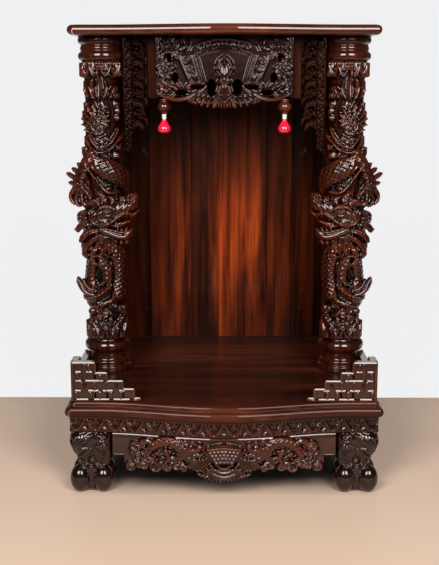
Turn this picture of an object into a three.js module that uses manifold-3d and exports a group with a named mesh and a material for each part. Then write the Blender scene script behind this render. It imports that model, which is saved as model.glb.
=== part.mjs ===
// Household altar cabinet in dark polished rosewood: a footed base with a serpentine front, two dragon
// columns, a boarded niche, a pierced frieze with two turned drops and red lamps, and a flat roof board.
// Millimetres, +Z up. The front faces -Y. The origin is on the floor, under the middle of the base.
import * as THREE from 'three';
import { mergeVertices } from 'three/addons/utils/BufferGeometryUtils.js';
import Module from 'manifold-3d';

const wasm = await Module();
wasm.setup();
const { Manifold, Mesh: SolidMesh } = wasm;

// Driving dimensions
const baseWidth = 610;
const baseDepth = 610;
const bow = 36; // how far the serpentine front swells forward at the middle
const bowHalfWidth = 250; // where the swell starts, measured from the middle
const legHeight = 126;
const bandHeight = 30;
const floorThickness = 30;
const nicheHeight = 690;
const roofThickness = 20;
const roofWidth = 610;
const roofFrontSetback = 157; // roof corners behind the corners of the base
const roofBackOverhang = 14;
const gap = 0.3; // clearance between pieces that touch

const columnInset = 56; // column axis inside the ends of the base
const columnSetback = 254; // column axis behind the front corners of the base
const ringRadius = 48;
const ringSpread = 1.03; // widest ring against the others
const shaftRadius = 34;
const wallThickness = 14;
const backWallThickness = 16;
const backWallInset = 43; // inner face of the back wall, in front of the back edge of the base
const rearPostSize = 30;

const bandInset = 9; // face of the carved band behind the nose of the floor board
const bandThickness = 18;
const legSize = 85;
const legProud = 5; // widest part of a leg outside the band
const apronThickness = 16;
const apronInset = 8; // face of the apron behind the face of the band
const plainApronDrop = 49; // how far the front apron hangs at its ends, scrolls and middle
const scrollApronDrop = 78;
const middleApronDrop = 90;
const apronPlainEnd = 24;
const sideScrollDrop = 72; // the same for the plainer side and back aprons
const sideHollowDrop = 62;
const sideMiddleDrop = 66;
const sideScrollReach = 52; // where their scroll and hollow lie, from the end
const sideHollowReach = 84;

const railInset = 13; // corner rails behind the nose of the floor board
const railThickness = 13;
const railSteps = [[48, 78], [71, 58], [101, 42], [122, 26], [135, 8]]; // reach from the corner, height
const sideRailStep = [50, 76]; // the side rail is tall for this reach, then lower up to the column
const sideRailHeight = 46;
const fretRise = 2.5;
const fretWidth = 4.5;

const friezeToColumn = 113; // end of the frieze to the column axis
const friezeDrawnHalf = 136; // the frieze is drawn at this half width, then stretched to its own
const friezeHeight = 118;
const friezeThickness = 12;
const friezeSetback = 206; // frieze face behind the front corners of the base
const postWidth = 20;
const postDepth = 18;
const wingInnerDrop = 125; // how far a carved wing hangs at the post, in the middle and at the column
const wingMiddleDrop = 178;
const wingOuterDrop = 236;
const wingThickness = 9;
const knobInset = 15; // axis of a turned drop inside the end of the frieze
const knobRadius = 14;
const knobHeight = 29;
const bulbRadius = 13.5;
const bulbHeight = 28;
const socketRadius = 5;
const socketHeight = 10;

// Levels and faces that follow from them
const bandTop = legHeight + bandHeight;
const floorTop = bandTop + floorThickness;
const roofBottom = floorTop + nicheHeight;
const halfWidth = baseWidth / 2;
const columnX = halfWidth - columnInset;
const friezeHalfWidth = columnX - friezeToColumn;
const knobX = friezeHalfWidth - knobInset;
const backEdge = baseDepth / 2;
const cornerFront = -backEdge + bow; // front corners of the base, where the serpentine starts
const columnY = cornerFront + columnSetback;
const backWallFront = backEdge - backWallInset;
const backWallBack = backWallFront + backWallThickness;
const friezeFront = cornerFront + friezeSetback;

const rosewood = { color: 0x2e120b, roughness: 0.28, metalness: 0 };
const lightRosewood = { color: 0x4a1d10, roughness: 0.3, metalness: 0 };
const redGlass = { color: 0xc8102a, roughness: 0.12, metalness: 0 };
const socketPlastic = { color: 0xd8c8c4, roughness: 0.35, metalness: 0 };

const group = new THREE.Group();
group.name = 'altar_cabinet';

// How far the serpentine front stands forward of its corners at a place x across the width.
function swell(x) {
  const share = Math.min(Math.abs(x) / bowHalfWidth, 1);
  return bow * 0.5 * (1 + Math.cos(Math.PI * share));
}

// Smooth hump of height 1 at distance 0, falling to 0 at distance 1.
function hump(distance) {
  return Math.abs(distance) < 1 ? Math.sqrt(1 - distance * distance) : 0;
}

// A closed solid from a geometry whose faces may share no vertices yet.
function toSolid(geometry) {
  let bare = new THREE.BufferGeometry();
  bare.setAttribute('position', geometry.getAttribute('position').clone());
  if (geometry.index) bare.setIndex(geometry.index.clone());
  bare = mergeVertices(bare, 1e-4);
  return new Manifold(new SolidMesh({
    numProp: 3,
    vertProperties: new Float32Array(bare.getAttribute('position').array),
    triVerts: new Uint32Array(bare.index.array),
  }));
}

function toGeometry(solid) {
  const mesh = solid.getMesh();
  const geometry = new THREE.BufferGeometry();
  geometry.setAttribute('position', new THREE.BufferAttribute(new Float32Array(mesh.vertProperties), 3));
  geometry.setIndex(new THREE.BufferAttribute(new Uint32Array(mesh.triVerts), 1));
  geometry.computeVertexNormals();
  return geometry;
}

// Joins solids into one, and fills any hollow that the join closes in.
function unite(solids) {
  const joined = solids.reduce((whole, next) => whole.add(next));
  return Manifold.compose(joined.decompose().filter((shell) => shell.volume() > 0));
}

function addPiece(name, solid, finish) {
  const mesh = new THREE.Mesh(toGeometry(solid), new THREE.MeshStandardMaterial(finish));
  mesh.name = name;
  group.add(mesh);
}

// A box between two corners.
function block(x0, y0, z0, x1, y1, z1) {
  const box = new THREE.BoxGeometry(Math.abs(x1 - x0), Math.abs(y1 - y0), Math.abs(z1 - z0));
  box.translate((x0 + x1) / 2, (y0 + y1) / 2, (z0 + z1) / 2);
  return toSolid(box);
}

// An ellipsoid of few faces.
function ball(x, y, z, rx, ry, rz, across = 8, up = 5) {
  const sphere = new THREE.SphereGeometry(1, across, up);
  sphere.rotateX(Math.PI / 2);
  sphere.scale(rx, ry, rz);
  sphere.translate(x, y, z);
  return toSolid(sphere);
}

// A solid of revolution about a vertical axis, from [radius, height] pairs that start and end on it.
function turned(profile, x, y, z, sides = 12) {
  const lathe = new THREE.LatheGeometry(profile.map(([r, h]) => new THREE.Vector2(r, h)), sides);
  lathe.rotateX(Math.PI / 2);
  lathe.translate(x, y, z);
  return toSolid(lathe);
}

// A plate with an outline of [x, z] points, from the face at y back by its thickness.
function plate(points, y, thickness, holes = []) {
  const shape = new THREE.Shape(points.map(([x, z]) => new THREE.Vector2(x, z)));
  for (const hole of holes) shape.holes.push(new THREE.Path(hole.map(([x, z]) => new THREE.Vector2(x, z))));
  const slab = new THREE.ExtrudeGeometry(shape, { depth: thickness, bevelEnabled: false });
  slab.rotateX(Math.PI / 2);
  slab.translate(0, y + thickness, 0);
  return toSolid(slab);
}

function oval(x, z, rx, rz, sides = 7) {
  return Array.from({ length: sides }, (_, i) => {
    const turn = (2 * Math.PI * i) / sides;
    return [x + rx * Math.cos(turn), z + rz * Math.sin(turn)];
  });
}

// Triangles over a flat ring of points, wound the way the ring runs.
function coverRing(ring) {
  const normal = new THREE.Vector3();
  ring.forEach((p, i) => {
    const q = ring[(i + 1) % ring.length];
    normal.x += (p[1] - q[1]) * (p[2] + q[2]);
    normal.y += (p[2] - q[2]) * (p[0] + q[0]);
    normal.z += (p[0] - q[0]) * (p[1] + q[1]);
  });
  const size = [Math.abs(normal.x), Math.abs(normal.y), Math.abs(normal.z)];
  const drop = size.indexOf(Math.max(...size));
  const keep = [0, 1, 2].filter((axis) => axis !== drop);
  const flat = ring.map((p) => new THREE.Vector2(p[keep[0]], p[keep[1]]));
  const ringArea = THREE.ShapeUtils.area(flat);
  return THREE.ShapeUtils.triangulateShape(flat, []).map(([a, b, c]) => {
    const area = THREE.ShapeUtils.area([flat[a], flat[b], flat[c]]);
    return area * ringArea < 0 ? [a, c, b] : [a, b, c];
  });
}

// A solid through closed rings of equal point count, covered at both ends.
function loft(rings) {
  const count = rings[0].length;
  const points = rings.flat();
  let faces = [];
  for (let r = 0; r < rings.length - 1; r++) {
    for (let i = 0; i < count; i++) {
      const a = r * count + i;
      const b = r * count + ((i + 1) % count);
      faces.push([a, b, b + count], [a, b + count, a + count]);
    }
  }
  const last = (rings.length - 1) * count;
  for (const [a, b, c] of coverRing(rings[0])) faces.push([a, c, b]);
  for (const [a, b, c] of coverRing(rings[rings.length - 1])) faces.push([last + a, last + b, last + c]);
  let volume = 0;
  for (const [a, b, c] of faces) {
    const [p, q, s] = [points[a], points[b], points[c]];
    volume += p[0] * (q[1] * s[2] - q[2] * s[1]) - p[1] * (q[0] * s[2] - q[2] * s[0])
      + p[2] * (q[0] * s[1] - q[1] * s[0]);
  }
  if (volume < 0) faces = faces.map(([a, b, c]) => [a, c, b]);
  const geometry = new THREE.BufferGeometry();
  geometry.setAttribute('position', new THREE.Float32BufferAttribute(points.flat(), 3));
  geometry.setIndex(faces.flat());
  return toSolid(geometry);
}

// A tapering limb through points, with one radius for each point.
function limb(points, radii, sides = 5) {
  const route = points.map((p) => new THREE.Vector3(...p));
  return loft(route.map((p, i) => {
    const before = route[Math.max(i - 1, 0)];
    const after = route[Math.min(i + 1, route.length - 1)];
    const along = after.clone().sub(before).normalize();
    const guide = Math.abs(along.z) > 0.9 ? new THREE.Vector3(0, 1, 0) : new THREE.Vector3(0, 0, 1);
    const side = along.clone().cross(guide).normalize();
    const up = side.clone().cross(along);
    return Array.from({ length: sides }, (_, k) => {
      const turn = (2 * Math.PI * k) / sides;
      const out = side.clone().multiplyScalar(Math.cos(turn)).addScaledVector(up, Math.sin(turn));
      return p.clone().addScaledVector(out, radii[i]).toArray();
    });
  }));
}

// Plan of a board with the serpentine front, drawn in by an inset.
function boardRing(width, front, back, inset, z) {
  const half = width / 2 - inset;
  const stations = 17;
  const ring = [];
  for (let i = 0; i < stations; i++) {
    const x = -half + (2 * half * i) / (stations - 1);
    ring.push([x, front - swell(x) + inset, z]);
  }
  ring.push([half, back - inset, z], [-half, back - inset, z]);
  return ring;
}

// Floor board: a rounded nose with a small step above it.
function addFloorBoard() {
  const lip = 8;
  const nose = floorThickness * 0.72;
  const levels = [[5, 0], [1, nose * 0.2], [0, nose * 0.5], [1, nose * 0.8], [5, nose], [lip, nose + 1],
    [lip, floorThickness - gap]];
  addPiece('floor_board', loft(levels.map(([inset, rise]) =>
    boardRing(baseWidth, cornerFront, backEdge, inset, bandTop + rise))), rosewood);
}

// Roof board: a full round edge.
function addRoofBoard() {
  const front = cornerFront + roofFrontSetback;
  const back = backWallBack + roofBackOverhang;
  const levels = [[5, 0], [1, 0.2], [0, 0.5], [1, 0.8], [5, 1]];
  addPiece('roof_board', loft(levels.map(([inset, share]) =>
    boardRing(roofWidth, front, back, inset, roofBottom + share * roofThickness))), rosewood);
}

// Carved band under the floor board: the front piece follows the serpentine, with a row of leaves.
function addBand() {
  const outer = halfWidth - bandInset;
  const front = cornerFront + bandInset;
  const leafLength = 37;
  const leaves = Math.round((2 * outer) / leafLength);
  const top = bandTop - gap;
  const middle = (legHeight + top) / 2;
  const rings = [];
  for (let i = 0; i <= 2 * leaves; i++) {
    const x = -outer + (outer * i) / leaves;
    const face = front - swell(x);
    const rise = i % 2 === 0 ? 0 : 3;
    rings.push([[x, face + bandThickness, legHeight + gap], [x, face + bandThickness, top],
      [x, face + 3, top], [x, face + 3 - rise, middle], [x, face + 3, legHeight + gap]]);
  }
  addPiece('carved_band_front', loft(rings), rosewood);
  const rear = backEdge - bandInset;
  for (const [side, name] of [[-1, 'left'], [1, 'right']]) {
    addPiece(`carved_band_${name}`, block(side * outer, front + bandThickness + gap, legHeight + gap,
      side * (outer - bandThickness), rear - bandThickness - gap, top), rosewood);
  }
  addPiece('carved_band_back', block(-outer, rear - bandThickness, legHeight + gap, outer, rear, top),
    rosewood);
}

// A leg's levels: height as a share of the leg, then its half width on the outer and on the inner sides, as
// shares of half the leg size.
const legLevels = [[0, 0.47, 0.47], [0.06, 0.6, 0.6], [0.22, 0.63, 0.66], [0.34, 0.6, 0.78], [0.43, 0.59, 0.87],
  [0.52, 0.6, 0.92], [0.62, 0.72, 0.94], [0.76, 0.9, 0.97], [0.9, 0.88, 0.985], [1, 0.79, 0.97]];
const toeOut = 0.53; // centre and radius of a toe's ball, as shares of half the leg size
const toeRadius = 0.46;
const toeHeight = 0.21; // its middle and half height, as shares of the leg
const toeRise = 0.22;

// How far a leg reaches from its axis: the larger of a soft square and the four round toes.
function legReach(turn, [share, outer, inner], half) {
  const across = Math.cos(turn);
  const along = Math.sin(turn);
  const halfX = half * (across > 0 ? outer : inner);
  const halfY = half * (along > 0 ? outer : inner);
  let reach = Math.pow(Math.pow(Math.abs(across) / halfX, 5) + Math.pow(Math.abs(along) / halfY, 5), -0.2);
  const level = Math.pow(hump((share - toeHeight) / toeRise), 2) * Math.pow(toeRadius * half, 2);
  for (const [sx, sy] of [[1, 1], [1, -1], [-1, 1], [-1, -1]]) {
    const towards = toeOut * half * (sx * across + sy * along);
    const room = level - 2 * Math.pow(toeOut * half, 2) + towards * towards;
    if (room > 0 && towards > 0) reach = Math.max(reach, towards + Math.sqrt(room));
  }
  return reach;
}

// Leg with a carved knee, a narrow ankle and four round toes. Its outer corner points to +X and +Y.
function legSolid(carved) {
  const half = legSize / 2;
  const sides = carved ? 14 : 12;
  const rings = legLevels.map((level) => Array.from({ length: sides }, (_, i) => {
    const turn = (2 * Math.PI * (i + 0.5)) / sides;
    const reach = legReach(turn, level, half);
    return [reach * Math.cos(turn), reach * Math.sin(turn), level[0] * legHeight];
  }));
  if (!carved) return loft(rings);
  const boss = ball(0, half * 0.6, legHeight * 0.51, 7, 5, 8, 6, 4);
  const stem = limb([[0, half * 0.6, legHeight * 0.55], [0, half * 0.82, legHeight * 0.73]], [3, 3], 4);
  const leaf = limb([[half * 0.7, half * 0.74, legHeight * 0.7], [half * 0.3, half * 0.86, legHeight * 0.84],
    [-half * 0.2, half * 0.78, legHeight * 0.96]], [3, 5, 2], 4);
  return unite([loft(rings), boss, stem, leaf]);
}

function addLegs() {
  const reach = halfWidth - bandInset + legProud - legSize / 2;
  const frontY = cornerFront + bandInset - legProud + legSize / 2;
  const rearY = backEdge - bandInset + legProud - legSize / 2;
  for (const [side, name] of [[-1, 'left'], [1, 'right']]) {
    const turned = (solid) => (side < 0 ? solid.mirror([1, 0, 0]) : solid);
    addPiece(`leg_front_${name}`, turned(legSolid(true)).mirror([0, 1, 0]).translate([side * reach, frontY, 0]),
      rosewood);
    addPiece(`leg_rear_${name}`, turned(legSolid(false)).translate([side * reach, rearY, 0]), rosewood);
  }
}

// Aprons between the legs. The front one is bowed, with a bead, two scroll ends and a carved middle.
function apronDrop(x, half) {
  const edge = half - Math.abs(x);
  if (edge < apronPlainEnd) return plainApronDrop;
  if (edge < apronPlainEnd + 12) return scrollApronDrop;
  const share = Math.abs(x) / (half - apronPlainEnd - 12);
  return scrollApronDrop - 4 + (middleApronDrop - scrollApronDrop + 4) * (1 - share)
    + 4 * Math.abs(Math.cos(share * Math.PI * 4));
}

function apronRelief(x, depthShare, half) {
  const carved = half - apronPlainEnd - 18;
  if (Math.abs(x) > carved || depthShare < 0.22) return 0;
  const wing = 3 * Math.abs(Math.cos((x / carved) * Math.PI * 2.5));
  const dome = 5 * hump(x / 34) * hump((depthShare - 0.5) / 0.5);
  return 5 + wing + dome;
}

function addAprons() {
  const half = halfWidth - bandInset + legProud - legSize - gap;
  const front = cornerFront + bandInset + apronInset;
  const top = legHeight - gap;
  const stations = 26;
  const rings = [];
  for (let i = 0; i <= stations; i++) {
    const x = -half + (2 * half * i) / stations;
    const face = front - swell(x);
    const drop = apronDrop(x, half);
    const back = face + apronThickness;
    const section = [[x, back, top], [x, back, top - drop + 3]];
    for (const share of [1, 0.7, 0.3]) {
      section.push([x, face - apronRelief(x, share, half), top - drop * share]);
    }
    section.push([x, face, top - 9], [x, face - 5, top - 6], [x, face - 5, top]);
    rings.push(section);
  }
  addPiece('apron_front', loft(rings), rosewood);

  const frontLegBack = cornerFront + bandInset - legProud + legSize + gap;
  const rearLegFront = backEdge - bandInset + legProud - legSize - gap;
  const outer = halfWidth - bandInset - apronInset;
  const middle = (frontLegBack + rearLegFront) / 2;
  const sideHalf = (rearLegFront - frontLegBack) / 2;
  const outline = (span) => {
    const low = [[-span, -plainApronDrop], [-span + sideScrollReach - 12, -plainApronDrop],
      [-span + sideScrollReach, -sideScrollDrop], [-span + sideHollowReach, -sideHollowDrop], [0, -sideMiddleDrop]];
    const mirrored = low.slice(0, -1).reverse().map(([x, z]) => [-x, z]);
    return [[-span, 0], ...low, ...mirrored, [span, 0]].reverse().map(([x, z]) => [x, z + top]);
  };
  for (const [side, name] of [[-1, 'left'], [1, 'right']]) {
    const panel = plate(outline(sideHalf), -apronThickness / 2, apronThickness)
      .rotate([0, 0, 90]).translate([side * (outer - apronThickness / 2), middle, 0]);
    addPiece(`apron_${name}`, panel, rosewood);
  }
  addPiece('apron_back', plate(outline(half), backEdge - bandInset - apronInset - apronThickness,
    apronThickness), rosewood);
}

// Stepped corner rails with a raised fret like laid bricks. Steps are [reach, height] from the corner.
function steppedOutline(steps, end) {
  const points = [[0, 0]];
  points.push([end, 0]);
  let reach = end;
  for (let i = steps.length - 1; i >= 0; i--) {
    points.push([reach, steps[i][1]]);
    reach = i > 0 ? steps[i - 1][0] : 0;
    points.push([reach, steps[i][1]]);
  }
  return points;
}

function fretBars(steps, courses, brick) {
  const reachAt = (height) => Math.max(...steps.filter(([, top]) => top >= height - 0.01).map(([reach]) => reach));
  const bars = [];
  courses.forEach((height, row) => {
    const end = reachAt(height + fretWidth);
    bars.push([fretWidth, height, end, height + fretWidth]);
    const nextHeight = row + 1 < courses.length ? courses[row + 1] : steps[0][1] - fretWidth;
    const upper = reachAt(nextHeight);
    for (let x = fretWidth + brick * (row % 2 ? 0.5 : 1); x < upper - fretWidth * 1.5; x += brick) {
      bars.push([x, height + fretWidth, x + fretWidth, nextHeight]);
    }
  });
  return bars;
}

function railSolid(steps, end, courses, brick) {
  const body = plate(steppedOutline(steps, end), 0, railThickness);
  const bars = fretBars(steps, courses, brick).map(([x0, z0, x1, z1]) =>
    block(x0, -fretRise, z0, x1, railThickness / 2, z1));
  return unite([body, ...bars]);
}

function addRails() {
  const outer = halfWidth - railInset;
  const front = cornerFront + railInset - 2;
  const courses = railSteps.slice(1).map(([, height]) => height - fretWidth).reverse();
  const frontRail = railSolid(railSteps, railSteps[railSteps.length - 1][0], courses, 26)
    .translate([-outer, front, floorTop + gap]);
  addPiece('corner_rail_left', frontRail, rosewood);
  addPiece('corner_rail_right', frontRail.mirror([1, 0, 0]), rosewood);
  const start = front + railThickness + gap;
  const length = columnY - start;
  const steps = [[sideRailStep[0] - railThickness, sideRailStep[1]], [length, sideRailHeight]];
  const hollow = ringRadius * ringSpread + 3 * gap;
  const socket = turned([[0, 0], [hollow, 0], [hollow, 100], [0, 100]], -columnX, columnY, floorTop, 32);
  const sideRail = railSolid(steps, length, [4, 22, sideRailHeight - fretWidth], 44)
    .rotate([0, 0, 90]).mirror([1, 0, 0])
    .translate([-outer, start, floorTop + gap]).subtract(socket);
  addPiece('side_rail_left', sideRail, rosewood);
  addPiece('side_rail_right', sideRail.mirror([1, 0, 0]), rosewood);
}

// Turned rings at the foot and the head of a column: heights from the floor, or down from the roof.
const footRings = [[0, ringSpread], [13, ringSpread], [16, 0.94], [24, 0.94], [29, 0.85], [41, 0.85], [45, 0.96],
  [54, 1.01], [62, 0.96], [69, 0.8]];
const headRings = [[48, 0.86], [43, 0.98], [37, 1.01], [30, 0.96], [26, 0.89], [14, 0.89], [10, 0.99], [3, 1],
  [0, 0.97]];

// The dragon's places on the shaft are given for a column 690 high and follow the height of the niche.
const carvedHeight = 690;
const carvedScale = nicheHeight / carvedHeight;
const coilRise = 13;
const coilHalfWidth = 24;
const coilFall = 209; // how far the body comes down in one turn round the shaft
const coilFrontHeight = 432;
const coilLowest = 255;
const coilHighest = 466;
const footLeafHeight = 50;

// Radius of the carved shaft. The angle runs from the front towards the inside of the cabinet.
function shaftReach(angle, height) {
  const collarTop = nicheHeight - headRings[0][0];
  const leafPhase = Math.abs(Math.cos(angle * 4));
  let rise = 4 + 3 * Math.sin(angle * 3 + height / 19) * Math.cos(height / 27);
  const hang = (collarTop - height) / (22 + 10 * leafPhase);
  if (hang < 1) rise = Math.max(rise, 14 - 5 * hang);
  const petal = (height - footRings[footRings.length - 1][0]) / footLeafHeight;
  if (petal < 1) rise = Math.max(rise, (5 + 6 * leafPhase) * hump(petal));
  for (const turn of [-1, 0, 1]) {
    const centre = coilFrontHeight - coilFall * (angle / (2 * Math.PI) + turn);
    if (centre > coilLowest && centre < coilHighest) {
      rise = Math.max(rise, coilRise * hump((height / carvedScale - centre) / coilHalfWidth));
    }
  }
  return shaftRadius + rise;
}

// Dragon parts that stand off the shaft: each point is [towards the inside, height, out to the front].
function dragonParts() {
  const along = (points, radii, sides = 5) =>
    limb(points.map(([x, height, out]) => [x, -out, height * carvedScale]), radii, sides);
  const skull = along([[-44, 324, 28], [-8, 332, 42], [14, 336, 46], [48, 346, 44], [71, 342, 36]],
    [9, 23, 20, 14, 2], 6);
  const nose = ball(54, -40, 363 * carvedScale, 12, 12, 12, 6, 4);
  const jaw = along([[-6, 304, 36], [20, 294, 42], [44, 290, 38], [56, 301, 32]], [10, 10, 8, 3]);
  const crest = along([[2, 356, 44], [-4, 372, 40], [-14, 384, 34]], [9, 6, 1], 4);
  const mane = [[-60, 302, -14, 314, 7], [-52, 276, -12, 302, 8], [-46, 255, -8, 290, 9], [-24, 246, 0, 288, 9],
    [6, 248, 14, 288, 9]].map(([tip, tipHeight, root, rootHeight, radius]) =>
    along([[root, rootHeight, 36], [(root + tip) / 2, (rootHeight + tipHeight) / 2, 42], [tip, tipHeight, 28]],
      [9, radius, 0.8], 4));
  const claw = along([[-18, 464, 30], [-34, 444, 36], [-46, 416, 35], [-53, 386, 30], [-46, 366, 30]],
    [11, 15, 15, 16, 12], 6);
  const toes = [[-60, 380, -68, 366, -60, 353], [-50, 374, -52, 360, -43, 349], [-38, 376, -30, 366, -25, 356]].map(
    ([x0, h0, x1, h1, x2, h2]) => along([[x0, h0, 32], [x1, h1, 32], [x2, h2, 28]], [7, 7, 1], 4));
  const spurs = [[-34, 424, -51, 437], [-40, 410, -62, 424], [-46, 400, -78, 412]].map(
    ([root, rootHeight, tip, tipHeight]) => along([[root, rootHeight, 32], [tip, tipHeight, 26]], [8, 0.8], 4));
  const coil = along([[30, 186, 30], [4, 166, 38], [-20, 158, 34], [-38, 182, 26], [-36, 220, 28], [-14, 246, 36],
    [8, 232, 38], [12, 200, 38]], [9, 10, 10, 10, 11, 11, 11, 9], 4);
  const hip = along([[24, 262, 26], [38, 218, 20], [32, 166, 22]], [12, 18, 12]);
  const fin = along([[-28, 166, 24], [-44, 180, 30], [-58, 201, 26]], [7, 7, 0.8], 4);
  const bloom = ball(-8, -36, 520 * carvedScale, 22, 11, 22, 7, 4);
  const flame = along([[-3, 560, 32], [-4, 622, 36]], [9, 1.5], 4);
  return [skull, nose, jaw, crest, ...mane, claw, ...toes, ...spurs, coil, hip, fin, bloom, flame];
}

function addColumns() {
  const sides = 13;
  const collarRows = [33, 24, 12];
  const shaftRows = 12;
  const lowest = footRings[footRings.length - 1][0];
  const highest = nicheHeight - headRings[0][0] - collarRows[0];
  const rows = footRings.map(([height, share]) => [Math.max(height, gap), () => ringRadius * share]);
  const shaftHeights = Array.from({ length: shaftRows - 1 }, (_, i) =>
    lowest + ((highest - lowest) * (i + 1)) / shaftRows);
  shaftHeights.push(...collarRows.map((down) => nicheHeight - headRings[0][0] - down));
  for (const height of shaftHeights) rows.push([height, (angle) => shaftReach(angle, height)]);
  rows.push(...headRings.map(([down, share]) =>
    [nicheHeight - Math.max(down, gap), () => ringRadius * share]));
  const rings = rows.map(([height, reach]) => Array.from({ length: sides }, (_, i) => {
    let angle = (2 * Math.PI * i) / sides;
    if (angle > Math.PI) angle -= 2 * Math.PI;
    const radius = reach(angle);
    return [radius * Math.sin(angle), -radius * Math.cos(angle), height];
  }));
  const column = unite([loft(rings), ...dragonParts()]).translate([-columnX, columnY, floorTop]);
  addPiece('dragon_column_left', column, rosewood);
  addPiece('dragon_column_right', column.mirror([1, 0, 0]), rosewood);
}

// Walls of the niche.
function addWalls() {
  const bottom = floorTop + gap;
  const top = roofBottom - gap;
  const postFront = backWallBack - rearPostSize;
  const postInner = columnX - rearPostSize / 2;
  addPiece('back_wall', block(-postInner + gap, backWallFront, bottom, postInner - gap, backWallBack, top),
    lightRosewood);
  const wallStart = columnY + ringRadius * ringSpread + gap;
  for (const [side, name] of [[-1, 'left'], [1, 'right']]) {
    addPiece(`rear_post_${name}`, block(side * postInner, postFront, bottom,
      side * (postInner + rearPostSize), backWallBack, top), rosewood);
    addPiece(`side_wall_${name}`, block(side * (columnX - wallThickness / 2), wallStart, bottom,
      side * (columnX + wallThickness / 2), postFront - gap, top), lightRosewood);
  }
}

// Pierced frieze: a scroll picture frame between two open books, with flowers and hanging leaves.
function addFrieze() {
  const top = roofBottom - gap;
  const mirrorOutline = (points) => [...points, ...points.slice().reverse().map(([x, z]) => [-x, z])];
  const outline = mirrorOutline([[-friezeDrawnHalf, 0], [-friezeDrawnHalf, -friezeHeight],
    [-108, -friezeHeight - 4], [-84, -friezeHeight - 8], [-69, -friezeHeight - 15], [-50, -friezeHeight - 18],
    [-26, -friezeHeight - 22], [-6, -friezeHeight - 23]]).map(([x, z]) => [x, z + top]).reverse();
  const holes = [[28, -99, 8, 18], [56, -97, 14, 4.5], [86, -109, 11, 6], [100, -83, 6, 6]].flatMap(
    ([x, z, rx, rz]) => [oval(-x, z + top, rx, rz), oval(x, z + top, rx, rz)]);
  const panel = plate(outline, friezeFront, friezeThickness, holes);
  const raise = (points, rise) => plate(points.map(([x, z]) => [x, z + top]), friezeFront - rise, rise + 2);
  const arc = (radius, centre, spread, count, flip) => Array.from({ length: count }, (_, i) => {
    const turn = spread * (1 - (2 * i) / (count - 1)) * (flip ? -1 : 1);
    return [radius * Math.sin(turn), centre + radius * Math.cos(turn)];
  });
  const banner = raise([...arc(150, -160, -0.44, 6, false), ...arc(128, -160, -0.4, 6, true)], 8);
  const plaque = raise([...arc(115, -151, -0.4, 6, false), [32, -93], [0, -88], [-32, -93]].reverse(), 4);
  const gourd = turned([[0, -134], [9, -116], [6, -108], [13, -98], [13, -86], [7, -80], [11, -76], [13, -66],
    [5, -52], [0, -46]], 0, friezeFront - 2.6, top, 8);
  const sides = [];
  for (const side of [-1, 1]) {
    const flip = (points) => (side > 0 ? points : points.map(([x, z]) => [-x, z]).reverse());
    sides.push(raise(flip([[58, -36], [94, -36], [66, -96], [36, -96]].reverse()), 6));
    sides.push(ball(side * 116, friezeFront, top - 66, 15, 9, 15, 7, 4));
    for (const [x, z, size] of [[118, -16, 13], [92, -16, 11]]) {
      sides.push(ball(side * x, friezeFront, top + z, size, 7, size * 0.8, 6, 4));
    }
    sides.push(limb([[side * 128, friezeFront - 2, top - 104], [side * 104, friezeFront - 3, top - 120],
      [side * 76, friezeFront - 3, top - 120], [side * 46, friezeFront - 2, top - 106]], [3, 4.5, 4.5, 3], 4));
    for (const [x, tip] of [[16, -138], [38, -135], [60, -128]]) {
      sides.push(limb([[side * x * 0.7, friezeFront - 1, top - 112], [side * x, friezeFront - 4, top + tip]],
        [6, 8], 4));
    }
  }
  const carved = unite([panel, banner, plaque, gourd, ...sides]);
  addPiece('frieze', carved.scale([friezeHalfWidth / friezeDrawnHalf, 1, 1]), rosewood);
}

// Posts behind the frieze ends, and carved wings between the posts and the columns.
function addFriezeSides() {
  const top = roofBottom - gap;
  const postInner = friezeHalfWidth - 2;
  const postOuter = postInner + postWidth;
  const postFront = friezeFront + friezeThickness + gap;
  const wingFront = postFront + (postDepth - wingThickness) / 2;
  const wingToAxis = columnY - wingFront - wingThickness;
  const wingOuter = columnX - Math.sqrt(Math.pow(ringRadius * ringSpread, 2) - wingToAxis * wingToAxis) - gap;
  for (const [side, name] of [[-1, 'left'], [1, 'right']]) {
    addPiece(`frieze_post_${name}`, block(side * postInner, postFront, top - friezeHeight - 3,
      side * postOuter, postFront + postDepth, top), rosewood);
    const inner = postOuter + gap;
    const flip = (points) => (side > 0 ? points : points.map(([x, z]) => [-x, z]).reverse());
    const width = wingOuter - inner;
    const drops = [[0, wingInnerDrop], [0.12, wingMiddleDrop - 24], [0.24, wingMiddleDrop],
      [0.56, wingMiddleDrop + 6], [0.66, wingMiddleDrop + 26], [0.86, wingOuterDrop], [1, wingOuterDrop - 18]];
    const outline = [[inner, 0], ...drops.map(([share, drop]) => [inner + share * width, -drop]), [wingOuter, 0]];
    const panel = plate(flip(outline.map(([x, z]) => [x, z + top]).reverse()), wingFront, wingThickness);
    const curls = [[0.3, 30], [0.6, 66], [0.3, 100], [0.45, 136], [0.4, 166], [0.8, 206]].map(([share, drop]) =>
      ball(side * (inner + share * width), wingFront, top - drop, 8, 6, 14, 6, 4));
    addPiece(`frieze_wing_${name}`, unite([panel, ...curls]), rosewood);
  }
}

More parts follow.
